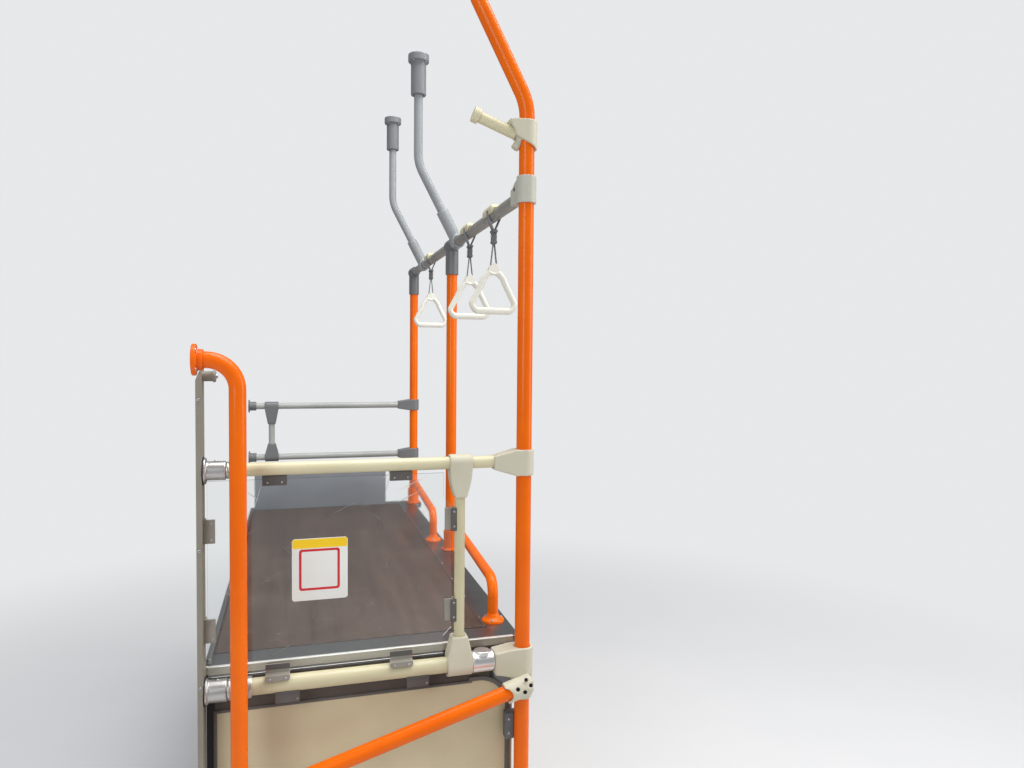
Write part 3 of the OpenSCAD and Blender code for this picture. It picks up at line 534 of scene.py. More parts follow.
def hemmed(node, width=1.0, segments=2, tools=()):
    obj = cut(copy_of(node, "hemmed_" + node), tools)
    bm = bmesh.new()
    bm.from_mesh(obj.data)
    bmesh.ops.remove_doubles(bm, verts=bm.verts, dist=0.01 * MM)
    bmesh.ops.dissolve_limit(bm, angle_limit=math.radians(0.5), verts=bm.verts, edges=bm.edges)
    bm.to_mesh(obj.data)
    bm.free()
    changed(obj, "BEVEL", width=width * MM, segments=segments, limit_method="ANGLE",
            angle_limit=math.radians(40))
    settle(obj, finish_of[node], nodes=[node])


# %% Turned and swept shapes
def skin(bm, rings):
    """Joins rings of points one to the next and closes both ends."""
    n = len(rings[0])
    for a, b in zip(rings, rings[1:]):
        for k in range(n):
            bm.faces.new((a[k], a[(k + 1) % n], b[(k + 1) % n], b[k]))
    bm.faces.new(rings[0])
    bm.faces.new(rings[-1])


def lathe(name, profile, where=(0, 0, 0), aim=(0, 0, 1), segments=40):
    """Turns (radius, height) pairs in millimetres. A radius can be a function of the angle."""
    bm = bmesh.new()
    turns = [2 * math.pi * k / segments for k in range(segments)]
    rings = []
    for r, z in profile:
        radii = [r(t) if callable(r) else r for t in turns]
        rings.append([bm.verts.new((radius * math.cos(t) * MM, radius * math.sin(t) * MM, z * MM))
                      for radius, t in zip(radii, turns)])
    skin(bm, rings)
    spin = Vector((0, 0, 1)).rotation_difference(Vector(aim)).to_matrix().to_4x4()
    bm.transform(Matrix.Translation(Vector(where)) @ spin)
    return mesh_object(name, bm)


def sweep(name, path, section, across=(0, 1, 0), size=None):
    """Draws a section along a path in a plane. across is the plane's normal; section holds
    (in the plane, across it) in millimetres, and size can scale it along the path."""
    bm = bmesh.new()
    across = Vector(across).normalized()
    rings = []
    for k, p in enumerate(path):
        along = path[min(k + 1, len(path) - 1)] - path[max(k - 1, 0)]
        out = across.cross(along.normalized()).normalized()
        s = size[k] if size else 1.0
        rings.append([bm.verts.new(Vector(p) + (out * u + across * v) * MM * s)
                      for u, v in section])
    skin(bm, rings)
    return mesh_object(name, bm)


def round_section(r, n):
    return [(r * math.cos(2 * math.pi * k / n), r * math.sin(2 * math.pi * k / n))
            for k in range(n)]


def flat_section(thick, wide, n=4):
    """A strip with rounded edges."""
    t, w = thick / 2, wide / 2 - thick / 2
    turns = [math.pi * k / n - math.pi / 2 for k in range(n + 1)]
    half = [(t * math.sin(turn), w + t * math.cos(turn)) for turn in turns]
    return half + [(-u, -v) for u, v in half]


def block(name, base, lo, hi, bevel=1.0, segments=2, far=None):
    """A box with bevelled edges. One corner lies lo millimetres from the base, the other hi
    millimetres from far, or from the base too."""
    far = base if far is None else far
    bm = bmesh.new()
    a = Vector([place + shift * MM for place, shift in zip(base, lo)])
    b = Vector([place + shift * MM for place, shift in zip(far, hi)])
    bmesh.ops.create_cube(bm, size=1.0)
    bm.transform(Matrix.Translation((a + b) / 2) @ Matrix.Diagonal((*(b - a), 1)))
    if bevel:
        bmesh.ops.bevel(bm, geom=bm.edges[:], offset=bevel * MM, segments=segments,
                        profile=0.5, affect="EDGES")
    return mesh_object(name, bm)


def join(name, objs):
    """Several plain meshes as one piece."""
    bm = bmesh.new()
    for o in objs:
        bm.from_mesh(o.data)
        bpy.data.objects.remove(o)
    return mesh_object(name, bm)


def peg(where, aim, r, length):
    """A plain round tool for cutting."""
    start = Vector(where) - Vector(aim).normalized() * length * MM
    return lathe("tool", [(r, 0), (r, 2 * length)], start, aim, 32)


# %% Screw heads, in units of the head's radius
def plus(arm, half):
    def radius(t):
        c, s = max(abs(math.cos(t)), 1e-6), max(abs(math.sin(t)), 1e-6)
        return max(min(arm / c, half / s), min(half / c, arm / s))
    return radius


def hexagon(a):
    return lambda t: a / math.cos((t + math.pi / 6) % (math.pi / 3) - math.pi / 6)


HEADS = {
    "pan": ([(1.0, 0), (1.0, 0.22), (0.86, 0.5), (0.6, 0.66), (plus(0.5, 0.13), 0.68),
             (plus(0.42, 0.08), 0.3)], 32),
    "socket": ([(1.0, 0), (1.0, 0.85), (0.9, 1.0), (hexagon(0.52), 1.0),
                (hexagon(0.5), 0.35)], 24),
    "hex": ([(1.35, 0), (1.35, 0.16), (hexagon(0.92), 0.17), (hexagon(0.92), 0.72),
             (0.84, 0.82)], 24),
    "rivet": ([(1.0, 0), (0.92, 0.3), (0.65, 0.55), (0.3, 0.66)], 16),
    "stitch": ([(0.5, 0), (0.42, 0.3), (0.2, 0.42)], 8),
}


def fastener_tree():
    """Puts a head on each point, aimed and sized, and turned at random about its own axis."""
    tree = bpy.data.node_groups.new("fasteners", "GeometryNodeTree")
    for label, kind, way in (("Geometry", "Geometry", "INPUT"), ("Head", "Object", "INPUT"),
                             ("Finish", "Material", "INPUT"), ("Seed", "Int", "INPUT"),
                             ("Geometry", "Geometry", "OUTPUT")):
        tree.interface.new_socket(label, in_out=way, socket_type="NodeSocket" + kind)
    node = nodes_of(tree, "")
    given = node("NodeGroupInput").outputs
    head = node("GeometryNodeObjectInfo", {"Object": given["Head"]})
    aim = node("GeometryNodeInputNamedAttribute", {"Name": "aim"}, data_type="FLOAT_VECTOR")
    size = node("GeometryNodeInputNamedAttribute", {"Name": "size"}, data_type="FLOAT")
    aimed = node("FunctionNodeAlignRotationToVector", {"Vector": aim.outputs["Attribute"]},
                 axis="Z")
    angle = node("FunctionNodeRandomValue", {3: 3.14, "Seed": given["Seed"]}, data_type="FLOAT")
    turn = node("FunctionNodeAxisAngleToRotation", {"Axis": (0, 0, 1),
                                                    "Angle": angle.outputs[1]})
    both = node("FunctionNodeRotateRotation", {"Rotation": aimed.outputs[0],
                                               "Rotate By": turn.outputs[0]},
                rotation_space="LOCAL")
    put = node("GeometryNodeInstanceOnPoints", {
        "Points": given["Geometry"], "Instance": head.outputs["Geometry"],
        "Rotation": both.outputs[0], "Scale": size.outputs["Attribute"]})
    real = node("GeometryNodeRealizeInstances", {0: put.outputs[0]})
    paint = node("GeometryNodeSetMaterial", {"Geometry": real.outputs[0],
                                             "Material": given["Finish"]})
    node("NodeGroupOutput", {0: paint.outputs[0]})
    return tree


SEED = 3
fastener_nodes = fastener_tree()
socket_id = {s.name: s.identifier for s in fastener_nodes.interface.items_tree
             if s.in_out == "INPUT"}


def fasteners(name, head, spots, material=screw_steel, body=BAY):
    """spots holds (place, direction, head radius in mm). The head object is made here."""
    profile, segments = HEADS[head]
    tool = lathe(name + "_head", profile, segments=segments)
    mesh = bpy.data.meshes.new(name)
    mesh.from_pydata([tuple(p) for p, d, r in spots], [], [])
    mesh.attributes.new("aim", "FLOAT_VECTOR", "POINT").data.foreach_set(
        "vector", [c for p, d, r in spots for c in Vector(d).normalized()])
    mesh.attributes.new("size", "FLOAT", "POINT").data.foreach_set(
        "value", [r for p, d, r in spots])
    obj = link(bpy.data.objects.new(name, mesh))
    m = obj.modifiers.new("fasteners", "NODES")
    m.node_group = fastener_nodes
    m[socket_id["Head"]] = tool
    m[socket_id["Finish"]] = material
    m[socket_id["Seed"]] = SEED
    bake(obj)
    bpy.data.objects.remove(tool)
    settle(obj, material, body)


# %% [markdown]
# ## Castings of the rear guard
#
# The tees are castings in ivory paint, in two halves that are bolted round the tubes. The upper
# one narrows like a shield. The CAD model has it with straight sides, and a small function
# moves the points of the even mesh into the curve before they are relaxed, which is quicker
# than sculpting and gives the same shape each time. Recesses for the bolts are cut first.

# %% Tees, collars and the swivel clamp
CORE, SHOULDER = 12, 0.62       # half the width that stays, and how far up the tee is widest


def shield(p):
    """Narrows the upper tee towards its foot in a curve, as a shield."""
    up = (p.z - upper_z + 76 * MM) / (95 * MM)
    reach = (p.x - post_x) / MM
    if up < -0.2:
        return Vector((p.x, p.y, p.z - 2.5 * MM))
    if abs(reach) < CORE:
        return p
    had = float(np.interp(up, (0, SHOULDER), (16, 28)))
    wanted = 14 + 11 * math.sin(math.pi / 2 * min(1, max(0, up) / SHOULDER))
    reach = math.copysign(CORE + (abs(reach) - CORE) * (wanted - CORE) / (had - CORE), reach)
    return Vector((post_x + reach * MM, p.y, p.z + 3 * MM * max(0, 1 - up)))


soft("post_tees", voxel=1.8, shape=shield)
soft("stanchion_tees", voxel=1.8, rounds=4)
soft("rail_collars", voxel=1.2, rounds=4)
hex_spots = [Vector((x * MM, -91 * MM, lower_z + dz * MM))
             for x, dz in ((-19, -14), (-37, -33), (-21, -40), (-8, -27))]
clamp_front = Vector((-0.30, -0.93, 0.2))
end = high("door_rail_lower")
mouth = [lathe("tool", [(15.6, 0), (15.6, 40)],
               (end.x - dx * MM, end.y - 14 * MM, end.z - (14.5 + 0.245 * dx) * MM), (0, -1, 0))
         for dx in (52, 64)]
square = block("tool", (0, 0, lower_z), (-3, -100, -100), (30, -44, 0), 0)
soft("swivel_clamp", voxel=1.4, rounds=5,
     tools=[peg(p, clamp_front, 4.4, 7) for p in hex_spots] + mouth + [square])
fasteners("swivel_clamp_bolts", "socket",
          [(p - clamp_front * 6 * MM, clamp_front, 3.9) for p in hex_spots], black_steel)

# %% Sockets at the wall and the sleeve on the lower rail
soft("wall_sockets", voxel=1.3, rounds=5)
dome = block("tool", (0, 0, lower_z), (-130, -40, 25), (-50, 40, 60), 0)
soft("rail_sleeve", voxel=1.2, rounds=12, tools=[dome])
gaskets = [lathe("gasket", [(22, 0), (28, 0), (28, 1.9), (27.4, 2.5), (22, 2.5)],
                 (upright_x - 0.2 * MM, 0, z), (1, 0, 0), 48) for z in (upper_z, lower_z)]
settle(join("socket_gaskets", gaskets), rubber)
sleeve_x = low("rail_sleeve").x + 9 * MM, high("rail_sleeve").x - 9 * MM
fasteners("guard_set_screws", "pan",
          [((x, -20 * MM, lower_z + 11.5 * MM), (0, -0.87, 0.5), 2.4) for x in sleeve_x]
          + [((upright_x + 24 * MM, 0, z + r * MM), (0, 0, 1), 3.4)
             for z, r in ((upper_z, 19), (lower_z, 22.4))])

# %% Clips that hold the clear sheet
CLIP = 48                       # a clip's length in millimetres
clip_x = low("screen_clips").x + 116 * MM, post_x - 152 * MM
flange_low = lower_z + 13.4 * MM
trimmed = [block("tool", (wall_x, 0, lower_z), (0, -30, 0), (0, -10, 0), 0,
                 far=(0, 0, flange_low))]
for x in clip_x:
    for at, way in ((x, 1), (x + CLIP * MM, -1)):
        path = [Vector((at, y * MM, flange_low)) for y in (-30, -10)]
        corner = [(way * 1.0, -1.0), (-way * 5.0, -1.0), (way * 1.0, 5.0)]
        trimmed.append(sweep("tool", path, corner, across=(0, 0, 1)))
hemmed("screen_clips", width=0.7, tools=trimmed)
# The bands darken the clips' tongues with painted shade in grey-brown trim; the post clips get
# dark leaves of the same trim.
clip_screws, painted_shade_bands = [], []
front_y, tongue_y, to_rear = low("screen_clips").y, -6 * MM, (0, -1, 0)
for x in clip_x:
    clip_screws += [((x + dx * MM, front_y, lower_z + 18.5 * MM), to_rear, 3.0) for dx in (9, 39)]
    painted_shade_bands.append(block("band", (x, tongue_y, lower_z), (0, -0.6, 33), (CLIP, 0.2, 44.4), 0.3, 1))
for x in (upright_x + 111 * MM, post_x - 153 * MM):
    clip_screws += [((x + dx * MM, tongue_y - 0.5 * MM, upper_z - 27 * MM), to_rear, 2.2)
                    for dx in (10, 38)]
    painted_shade_bands.append(block("band", (x, tongue_y, upper_z), (0, -0.6, -33.4), (CLIP, 0.2, -13.9),
                        0.3, 1))
for z in (lower_z + 100 * MM, upper_z - 145 * MM):
    painted_shade_bands.append(block("leaf", (post_x, 0, z), (-20.5, -9.2, -3), (-8, -6, 47), 0.8))
    for dz in (7, 39):
        clip_screws += [((post_x - 14 * MM, -9.2 * MM, z + dz * MM), to_rear, 2.4),
                        ((upright_x + 15 * MM, tongue_y, z + dz * MM), to_rear, 2.4)]
fasteners("clip_screws", "pan", clip_screws)
settle(join("clip_gaskets", painted_shade_bands), trim_grey)
tabs, tab_screws = [], []
for x in (upright_x + 135 * MM, post_x - 116 * MM):
    tabs.append(block("tab", (x, 0, lower_z), (0, -9, -38), (CLIP, -7, -13), 0.6))
    tabs.append(block("foot", (x, 0, lower_z), (0, -13, -16), (CLIP, -7, -12.6), 0.6))
    tab_screws.append(((x + 43 * MM, -9 * MM, lower_z - 31 * MM), to_rear, 2.2))
settle(join("rail_tabs", tabs), trim_grey)
fasteners("tab_screws", "pan", tab_screws)


# %% Blank sign plate: white, with a yellow band and a red frame
def rounded_outline(left, foot, right, top, r):
    """Points round a rectangle with round corners, all in millimetres from the plate's own."""
    x0, x1 = sign_a.x + left * MM, sign_b.x - right * MM
    z0, z1, r = sign_a.z + foot * MM, sign_b.z - top * MM, r * MM
    return [(cx + r * math.cos(math.radians(start + 15 * k)),
             cz + r * math.sin(math.radians(start + 15 * k)))
            for cx, cz, start in ((x1 - r, z1 - r, 0), (x0 + r, z1 - r, 90),
                                  (x0 + r, z0 + r, 180), (x1 - r, z0 + r, 270))
            for k in range(7)]


def sign_face(name, material, outline, hole=None):
    """A thin printed shape on the sign plate, 0.1 mm proud of it."""
    bm = bmesh.new()
    made = [[[bm.verts.new((x, y, z)) for x, z in pts] for y in (sign_a.y, sign_a.y - 0.1 * MM)]
            for pts in ([outline, hole] if hole else [outline])]
    walls = list(made)
    if hole:
        walls += list(zip(*made))
    else:
        bm.faces.new(made[0][0])
        bm.faces.new(made[0][1])
    for a, b in walls:
        for k in range(len(a)):
            j = (k + 1) % len(a)
            bm.faces.new((a[k], a[j], b[j], b[k]))
    settle(mesh_object(name, bm), material)


hemmed("sign_plate", width=0.4)
sign_a, sign_b = low("sign_plate"), high("sign_plate")
band_foot = (sign_b.z - sign_a.z) / MM - 20
sign_face("sign_yellow_band", sign_yellow, rounded_outline(1, band_foot, 1, 1, 3))
sign_face("sign_red_frame", sign_red, rounded_outline(14, 21, 16, 22, 6),
          rounded_outline(19, 26, 21, 27, 3))

# %% Upright at the wall
hemmed("wall_upright", width=1.6, segments=3)
fasteners("upright_screws", "pan",
          [((wall_x + 5 * MM, -27 * MM, z), to_rear, 3.4)
           for z in (0.20, 0.50, lower_z + 19 * MM, lower_z + 292 * MM, 1.35)])
top = high("wall_upright")
fasteners("peg_cap_screw", "socket",
          [((top.x - 0.5 * MM, 0, top.z - 17 * MM), (1, 0, 0), 4.0)])

# %% [markdown]
# ## Feet, flanges and sockets
#
# Most tubes end in a foot or flange with screws, which stand evenly on a circle. `circle`
# gives their places. An Array modifier turned round an empty would do so too, but each ring
# would then need an empty and an object of its own.


# %% Feet and flanges
def circle(centre, reach, turns=(45, 135, 225, 315), axes=(0, 1)):
    """Points on a circle of reach millimetres about a centre, in the plane of two axes."""
    points = []
    for t in turns:
        p = list(centre)
        p[axes[0]] += reach * MM * math.cos(math.radians(t))
        p[axes[1]] += reach * MM * math.sin(math.radians(t))
        points.append(p)
    return points


soft("stanchion_foot", voxel=1.3, rounds=5)
soft("deck_feet", voxel=1.7, rounds=4)
soft("door_rail_flange", voxel=1.2, rounds=4)
fasteners("foot_bolts", "hex", [(p, (0, 0, 1), 4.6) for p in circle((0, 0, 8 * MM), 29.5)])
flange = mid("door_rail_flange")
face_x = low("door_rail_flange").x + 7.9 * MM
fasteners("flange_screws", "pan",
          [(p, (0, 0, 1), 2.6) for y in pole_y for p in circle((0, y, deck_z + 5.8 * MM), 26.5)]
          + [(p, (1, 0, 0), 3.6)
             for p in circle((face_x, flange.y, flange.z), 25, axes=(1, 2))])

# %% Boots where the low aisle rails stand on the deck
FOOT_R, RISER_X, SCREW_RING = 26, -34, 22.4
first_y = low("aisle_risers").y + FOOT_R * MM
riser_at = [(RISER_X * MM, y, deck_z) for y in (first_y, first_y + pole_y[1] - pole_y[0])]
boots = [lathe("boot", [(12.9, 0.2), (27, 0.2), (27, 4.5), (25.5, 7), (21, 9), (17, 11.5),
                        (14.6, 16), (13.4, 20), (12.9, 20.2)], p, segments=56)
         for p in riser_at]
settle(join("riser_boots", boots), orange, angle=60)
boot_screws = []
for x, y, z in riser_at:
    for p in circle((x, y, z + 8.1 * MM), SCREW_RING, (-110, 10, 130)):
        lean = [(p[k] - (x, y)[k]) / (4 * SCREW_RING * MM) for k in (0, 1)]
        boot_screws.append((p, (*lean, 1), 3.4))
fasteners("boot_screws", "pan", boot_screws)

# %% Overhead castings
split = block("tool", (0, 0, rail_z), (-0.7, -40, -60), (0.7, -19, 60), 0)
clamp_bolt = Vector((-23 * MM, 33 * MM, rail_z + 14 * MM))
soft("strap_rail_clamp", voxel=1.2, rounds=5,
     tools=[split, peg(clamp_bolt, (-1, 0, 0), 5, 9)])
soft("overhead_tee", voxel=1.2, rounds=5)
seams = [block("tool", (0, y, rail_z), (-0.6, -40, -120), (0.6, -17.6, -18), 0) for y in pole_y]
side_bolts = [Vector((-21 * MM, y + s * 25 * MM, rail_z)) for y in pole_y for s in (-1, 1)]
soft("pole_connectors", voxel=1.8, rounds=4,
     tools=seams + [peg(p, (-1, 0, 0), 4.4, 4) for p in side_bolts])
fasteners("overhead_bolts", "socket",
          [(p + Vector((5 * MM, 0, 0)), (-1, 0, 0), 3.8) for p in side_bolts]
          + [(clamp_bolt + Vector((8 * MM, 0, 0)), (-1, 0, 0), 4.2)], black_steel)
soft("hanger_clamps", voxel=1.8, rounds=4)
soft("ceiling_sockets", voxel=2.1, rounds=4)
fasteners("ceiling_screws", "pan",
          [(p, (0, 0, -1), 3.2) for y, dz in ((0.0, 5), (hanger_y[0], 24), (hanger_y[1], 24))
           for p in circle((ceiling_x, y, ceiling_z - dz * MM), 27)])

# %% Front guard castings
soft("front_tees", voxel=2.0, rounds=4)
soft("front_wall_sockets", voxel=1.3, rounds=4)
hemmed("front_panel", width=0.8)

# %% [markdown]
# ## Hand straps
#
# Each strap is a loop of webbing over the rail, a clip, and a narrow loop round the roller in
# the handle's crown, with stitches where it is sewn. A curve object with a bevel could twist
# where the loop turns. Here a flat section is drawn along a computed path, which stays level
# and clears the rail by the same amount all round. Every piece of a strap rides on its body.


# %% Paths of the webbing
def loop_path(centre_z, r, end_z, half, y):
    """Up one side of a bar, round it and down again; ends at end_z, half apart."""
    reach = end_z - centre_z
    lean = math.atan2(half, abs(reach)) + math.acos(r / math.hypot(half, reach))
    down = -1 if reach < 0 else 1
    first, turn = math.pi / 2 * down + lean, 2 * math.pi - 2 * lean
    pts = [(-down * half, end_z)]
    for k in range(29):
        t = first + turn * k / 28
        pts.append((r * math.cos(t), centre_z + r * math.sin(t)))
    pts.append((down * half, end_z))
    return [Vector((x, y, z)) for x, z in pts]


def spread(path):
    """The same path with points less than 8 mm apart, for smooth strands."""
    out = []
    for a, b in zip(path, path[1:]):
        n = max(1, int((b - a).length / 0.004))
        out += [a.lerp(b, k / n) for k in range(n)]
    return out + [path[-1]]


# %% Straps
RAIL_LOOP, ROLLER_LOOP, CROWN = 16.9, 8.8, 13.6         # radii in millimetres
crown_z = high("strap_rear_handle").z - CROWN * MM
clip_top, clip_low = rail_z - 36 * MM, rail_z - 72 * MM
for body, y in strap_y.items():
    belt = [body + "_belt"]
    rail_loop = spread(loop_path(rail_z, RAIL_LOOP * MM, clip_top - 3 * MM, 1.6 * MM, y))
    settle(sweep(f"{body}_rail_loop", rail_loop, flat_section(1.7, 25)), webbing,
           body, belt, angle=60)
    handle_loop = spread(loop_path(crown_z, ROLLER_LOOP * MM, clip_low + 4 * MM, 1.4 * MM, y))
    settle(sweep(f"{body}_handle_loop", handle_loop, flat_section(1.6, 12)), webbing,
           body, belt, angle=60)
    foot, head = (0, y, clip_low), (0, y, clip_top)
    clip = [block("shell", foot, (-6.6, -8, 0), (6.6, 8, 0), 2.2, 3, far=head),
            block("lip", head, (-7.4, -13.6, -7), (7.4, 13.6, 0), 1.8, 3),
            block("band", foot, (-7.2, -9.2, 2.5), (7.2, 9.2, 8), 1.2)]
    settle(join(f"{body}_clip", clip), grey_plastic, body, belt)
    fasteners(f"{body}_clip_rivets", "rivet",
              [((s * 6.5 * MM, y, clip_low + 20 * MM), (s, 0, 0), 3.0) for s in (-1, 1)],
              body=body)
    rows = []
    for s in (-1, 1):
        for k in range(9):
            t = 0.22 + 0.07 * k
            x = s * (16.4 * (1 - t) + 1.6 * t + 1.05) * MM
            rows += [((x, y + v * MM, rail_z - (6 + 30 * t) * MM), (s * 0.9, 0, -0.42), 1.0)
                     for v in (-9.5, 9.5)]
    fasteners(f"{body}_stitches", "stitch", rows, sign_white, body)

# %% [markdown]
# ## Handles
#
# A handle is moulded from white plastic. It starts from the CAD ring, so that it still fits
# its roller. The bars get a bow and wide shoulders, the crown a point, and the edges the
# roundness of a moulded part. The mesh is made even first, because the ring has points only
# at the ends of its bars, and nothing between them could bend.

# %% Handles
BOW, SHOULDERS, SWELL, CHEEK = 3.4, 4.5, 0.24, 8.9


def moulded(node, y):
    """The ring as moulded: a fuller grip, bowed sides, wide shoulders and a pointed crown."""
    foot = low(node).z
    obj = even(copy_of(node, "soft_" + node), 1.2)
    for v in obj.data.vertices:
        v.co.z += MM * float(np.interp((v.co.z - foot) / MM, (2, 16, 40), (0, 3.0, 0)))
        below = (crown_z - v.co.z) / MM
        across, off = v.co.x / MM, (v.co.y - y) / MM
        if math.hypot(across, below) > CROWN - 0.6:
            off *= 1 + SWELL * float(np.interp(below, (-4, 12, 60), (0, 1, 0)))
        else:
            off = max(-CHEEK, min(CHEEK, off))
        t = min(1, max(0, (below - 8) / 97))
        out = BOW * math.sin(math.pi * t) + SHOULDERS * math.exp(-((below - 22) / 17) ** 2)
        across += math.copysign(out * min(1, abs(across) / 12), across)
        if below < 0 and abs(off) > 6:
            tip = min(1, -below / CROWN)
            across *= 1 - 0.25 * tip
            v.co.z += 2.0 * MM * tip * tip
        v.co.x, v.co.y = across * MM, y + off * MM
    return obj


for body, y in strap_y.items():
    ring = body + "_handle"
    settle(relaxed(moulded(ring, y), 16), white_plastic, body, [ring], angle=60)
soft("strap_saddles", voxel=1.4, rounds=5)

# %% [markdown]
# ## Deck
#
# A folded sheet with a bright edge carries a wood-grain mat. A low rim closes it at the wall.
# The lip along the rear edge is the part that is seen from close by. It has four thin strips,
# a facing, an edge, a hem and a bead. They could be bands of colour in one material, but only
# real edges catch the light, so each is a small box with its own finish. The edge is near
# white, a painted highlight along the lip's top, with some real shine from its metal.

# %% Deck sheet, rim and mat
hemmed("deck_tray", width=1.3, segments=3)
hemmed("deck_rim")
hemmed("deck_mat", width=0.8)
mat_a, mat_b, tray_a = low("deck_mat"), high("deck_mat"), low("deck_tray")
settle(block("mat_edge_strip", (mat_b.x, mat_a.y, deck_z), (0, 0, 0), (9, 9, 2.6), 0.9,
             far=(mat_b.x, mat_b.y, deck_z)), steel)
border = [((mat_b.x + 4.5 * MM, mat_a.y + 0.06 + 0.16 * k, deck_z + 2.3 * MM), (0, 0, 1), 2.6)
          for k in range(9)]
border.append(((tray_a.x + 10 * MM, tray_a.y + 30 * MM, deck_z), (0, 0, 1), 3.4))
fasteners("deck_screws", "pan", border)

# %% Folded lip along the deck's rear edge
lip_a, lip_b = (tray_a.x, tray_a.y, deck_z), (-13 * MM, tray_a.y, deck_z)
for name, lo, hi, bevel, segments, material, slot in (
        ("facing", (0, -0.9, -16.5), (0, 0.1, -1), 0.3, 1, lip_metal, "polished_metal"),
        ("edge", (0, -1.4, -1.6), (0, 6.5, 1), 1.0, 3, lip_painted_highlight, "polished_metal"),
        ("hem", (-0.2, -1.2, -21), (0, 2.2, -16.4), 0.5, 2, brown_rubber, "trim_rubber"),
        ("bead", (12, 1.6, -27.5), (-13, 2.8, -24.5), 0.4, 1, grey_plastic, "dark_plastic")):
    settle(block("lip_" + name, lip_a, lo, hi, bevel, segments, lip_b), material)

# %% [markdown]
# ## Base
#
# The base is hardly seen in the photograph, so it is a plain one: a welded frame, panels with
# edge trims, a kick plate along the aisle and a ribbed wheel arch. The welds and the ribs are
# swept, because both are one section that follows a line. The panels stay flat sheets, as
# bought laminate is, and get their look from joints, strips and rows of screws.


# %% Frame with welds and bolts
def weld(a, b, r):
    """A bead of weld from a to b: overlapping drops, 2.6 mm apart."""
    a, b = Vector(a), Vector(b)
    n = max(2, int((b - a).length / (2.6 * MM)))
    pts = [a.lerp(b, k / n) for k in range(n + 1)]
    drops = [1.0 if k % 2 else 0.8 for k in range(n + 1)]
    return sweep("bead", pts, round_section(r, 8), across=(0, 0, 1), size=drops)


for n in ("base_top_frame", "base_legs", "base_cross_beams"):
    hemmed(n, width=2.0, segments=3)
hemmed("base_foot_plates", width=0.8, segments=3)
legs_a, legs_b = low("base_legs"), high("base_legs")
fasteners("floor_anchors", "hex",
          [((x, y, 6 * MM), (0, 0, 1), 8.0) for x in (legs_a.x + 76 * MM, legs_b.x - 76 * MM)
           for y in (legs_a.y + 20 * MM, legs_b.y - 20 * MM)])
frame_z = low("base_top_frame").z
beads = [weld((x + 3 * MM, y, z), (x + 37 * MM, y, z), r)
         for x in (legs_a.x, legs_b.x - 40 * MM) for y in (legs_a.y, legs_b.y)
         for z, r in ((7 * MM, 2.6), (frame_z, 2.4))]
settle(join("frame_welds", beads), grey, angle=60)

# %% Panels, trims and kick plate
hemmed("rear_panel")
hemmed("rear_panel_trim", width=1.6, segments=3)
hemmed("side_panel")
hemmed("front_base_panel")
hemmed("panel_clip", width=2.0, segments=3)
rear_a, rear_b = low("rear_panel"), high("rear_panel")
top_left, top_right = (rear_a.x, rear_a.y, rear_b.z), (rear_b.x, rear_a.y, rear_b.z)
# Dark sheets close the gap under the deck lip and the gap beside the upright: painted shade, brown
# under the lip and black at the corner.
settle(block("gap_curtain", top_left, (0, 0.8, -2), (-66, 2.8, -20.5), 0.4, 1,
             far=(rear_b.x, rear_a.y, deck_z)), brown_rubber)
settle(block("corner_seal", (upright_x, rear_a.y, rear_a.z), (0, 0.2, 0), (0.4, 3.6, -21), 0.4,
             1, far=(rear_a.x, rear_a.y, deck_z)), rubber)
trims = [block("top", top_left, (-3, -2.4, -4), (-78, 4, 2), 1.2, far=top_right),
         block("left", rear_a, (-3, -3, 0), (4, 5, -3), 1.2, far=top_left)]
settle(join("rear_panel_edges", trims), trim_grey)
side_a, side_b = low("side_panel"), high("side_panel")
side_x, third = side_b.x, (side_b.y - side_a.y) / 3
joints = side_a.y + third, side_a.y + 2 * third
strips = [block("joint", (side_x, y, side_a.z), (0, -11, 100), (2.4, 11, 0), 0.8,
                far=(side_x, y, side_b.z)) for y in joints]
strips.append(block("top", (side_x, side_a.y, side_b.z), (0, 0, -22), (2.4, 0, 0), 0.8,
                    far=side_b))
settle(join("side_panel_strips", strips), aluminium)
settle(block("kick_plate", (side_x, side_a.y, side_a.z), (0, 0, 0), (1.6, 0, 100), 0.5,
             far=(side_x, side_b.y, side_a.z)), steel)

# %% Screws of the panels
panel_screws = []
for y in np.linspace(side_a.y + 0.03, side_b.y - 0.03, 14):
    panel_screws += [((side_x + 1.5 * MM, y, side_a.z + 0.086), (1, 0, 0), 3.0),
                     ((side_x + 2.3 * MM, y, side_b.z - 11 * MM), (1, 0, 0), 3.0)]
panel_screws += [((side_x + 2.3 * MM, y, z), (1, 0, 0), 3.0)
                 for z in np.linspace(side_a.z + 0.16, side_b.z - 0.06, 5) for y in joints]
front_a, front_b = low("front_base_panel"), high("front_base_panel")
panel_screws += [((x, front_b.y, z), (0, 1, 0), 3.0)
                 for z in (side_a.z + 0.05, side_a.z + 0.34, side_b.z - 0.04)
                 for x in np.linspace(front_a.x + 0.03, front_b.x - 0.03, 5)]
panel_screws += [((x, rear_a.y, z), to_rear, 3.0) for z in (rear_a.z + 0.04, rear_a.z + 0.33)
                 for x in (rear_a.x + 0.03, rear_b.x - 0.03)]
fasteners("panel_screws", "pan", panel_screws)
clip_a, clip_mid = low("panel_clip"), mid("panel_clip")
fasteners("panel_clip_bolt", "pan",
          [((clip_mid.x - 6 * MM, clip_a.y, clip_mid.z + s * 16 * MM), to_rear, 3.2)
           for s in (-1, 1)])

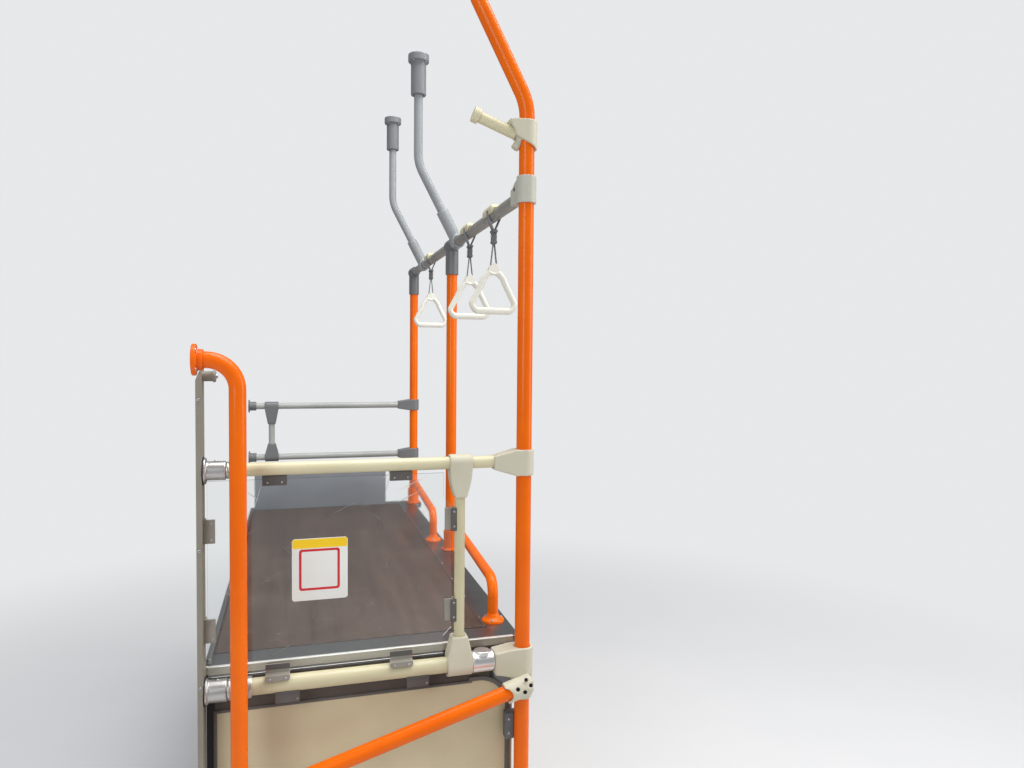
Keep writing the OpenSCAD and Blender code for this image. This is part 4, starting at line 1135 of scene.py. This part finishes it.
# %% Wheel arch with ribs that stop below the top frame
hemmed("wheel_arch")
arch_a, arch_b = low("wheel_arch"), high("wheel_arch")
arch_y = (arch_a.y + arch_b.y) / 2
arch_r = (arch_b.y - arch_a.y) / 2 - 36 * MM
axis_z, rib_r = arch_b.z - arch_r, arch_r + 0.4 * MM
rib_section = [(u * 0.6, v * 1.4) for u, v in round_section(5, 12)]
ribs = []
for x in np.linspace(arch_a.x + 0.07, arch_b.x - 0.07, 5):
    runs = [[]]
    for t in np.linspace(math.radians(8), math.radians(172), 60):
        p = Vector((x, arch_y + rib_r * math.cos(t), axis_z + rib_r * math.sin(t)))
        if p.z < frame_z - 5 * MM:
            runs[-1].append(p)
        elif runs[-1]:
            runs.append([])
    ribs += [sweep("rib", run, rib_section, across=(1, 0, 0)) for run in runs if len(run) > 3]
settle(join("arch_ribs", ribs), dark, angle=60)
fasteners("arch_bolts", "hex",
          [((x, y, 4 * MM), (0, 0, 1), 5.0)
           for x in np.linspace(arch_a.x + 0.05, arch_b.x - 0.05, 6)
           for y in (arch_a.y + 18 * MM, arch_b.y - 18 * MM)], black_steel)

# %% [markdown]
# ## Floor
#
# A plain pale sheet carries the shadow. A backdrop that curves up behind the bay is the usual
# way, but it would stand in the way of views from other sides. So the sheet fades into the
# paper round it instead, for rays that come straight from the camera or through clear plastic.

# %% Floor
bpy.ops.mesh.primitive_plane_add(size=30, location=(0, 0, -0.0006))
floor = bpy.context.object
floor.name = "floor"
pale, node, where = new_finish("pale_floor")
tone = blend(node, noise(node, where, 3.0, 5.0)["Fac"], (0.60, 0.605, 0.615, 1),
             (0.64, 0.64, 0.645, 1))
shader = node("BsdfPrincipled", {"Base Color": tone, "Roughness": 0.8,
                                 "Specular IOR Level": 0.1})
away = node("VectorMath", {0: where, 1: (-0.2, 0.8, 0.0)}, operation="DISTANCE")
distant = ramp(node, away.outputs["Value"], 1.0, 3.8, shape="SMOOTHSTEP")
rays = node("LightPath").outputs
direct = maths(node, rays["Is Camera Ray"], rays["Is Transmission Ray"], "MAXIMUM")
paper = node("Emission", {"Color": PAPER, "Strength": 1.0})
mixed = node("MixShader", {0: maths(node, distant, direct), 1: shader.outputs["BSDF"],
                           2: paper.outputs["Emission"]})
node("OutputMaterial", {"Surface": mixed.outputs["Shader"]})
floor.data.materials.append(pale)
print("floor:", floor.name)
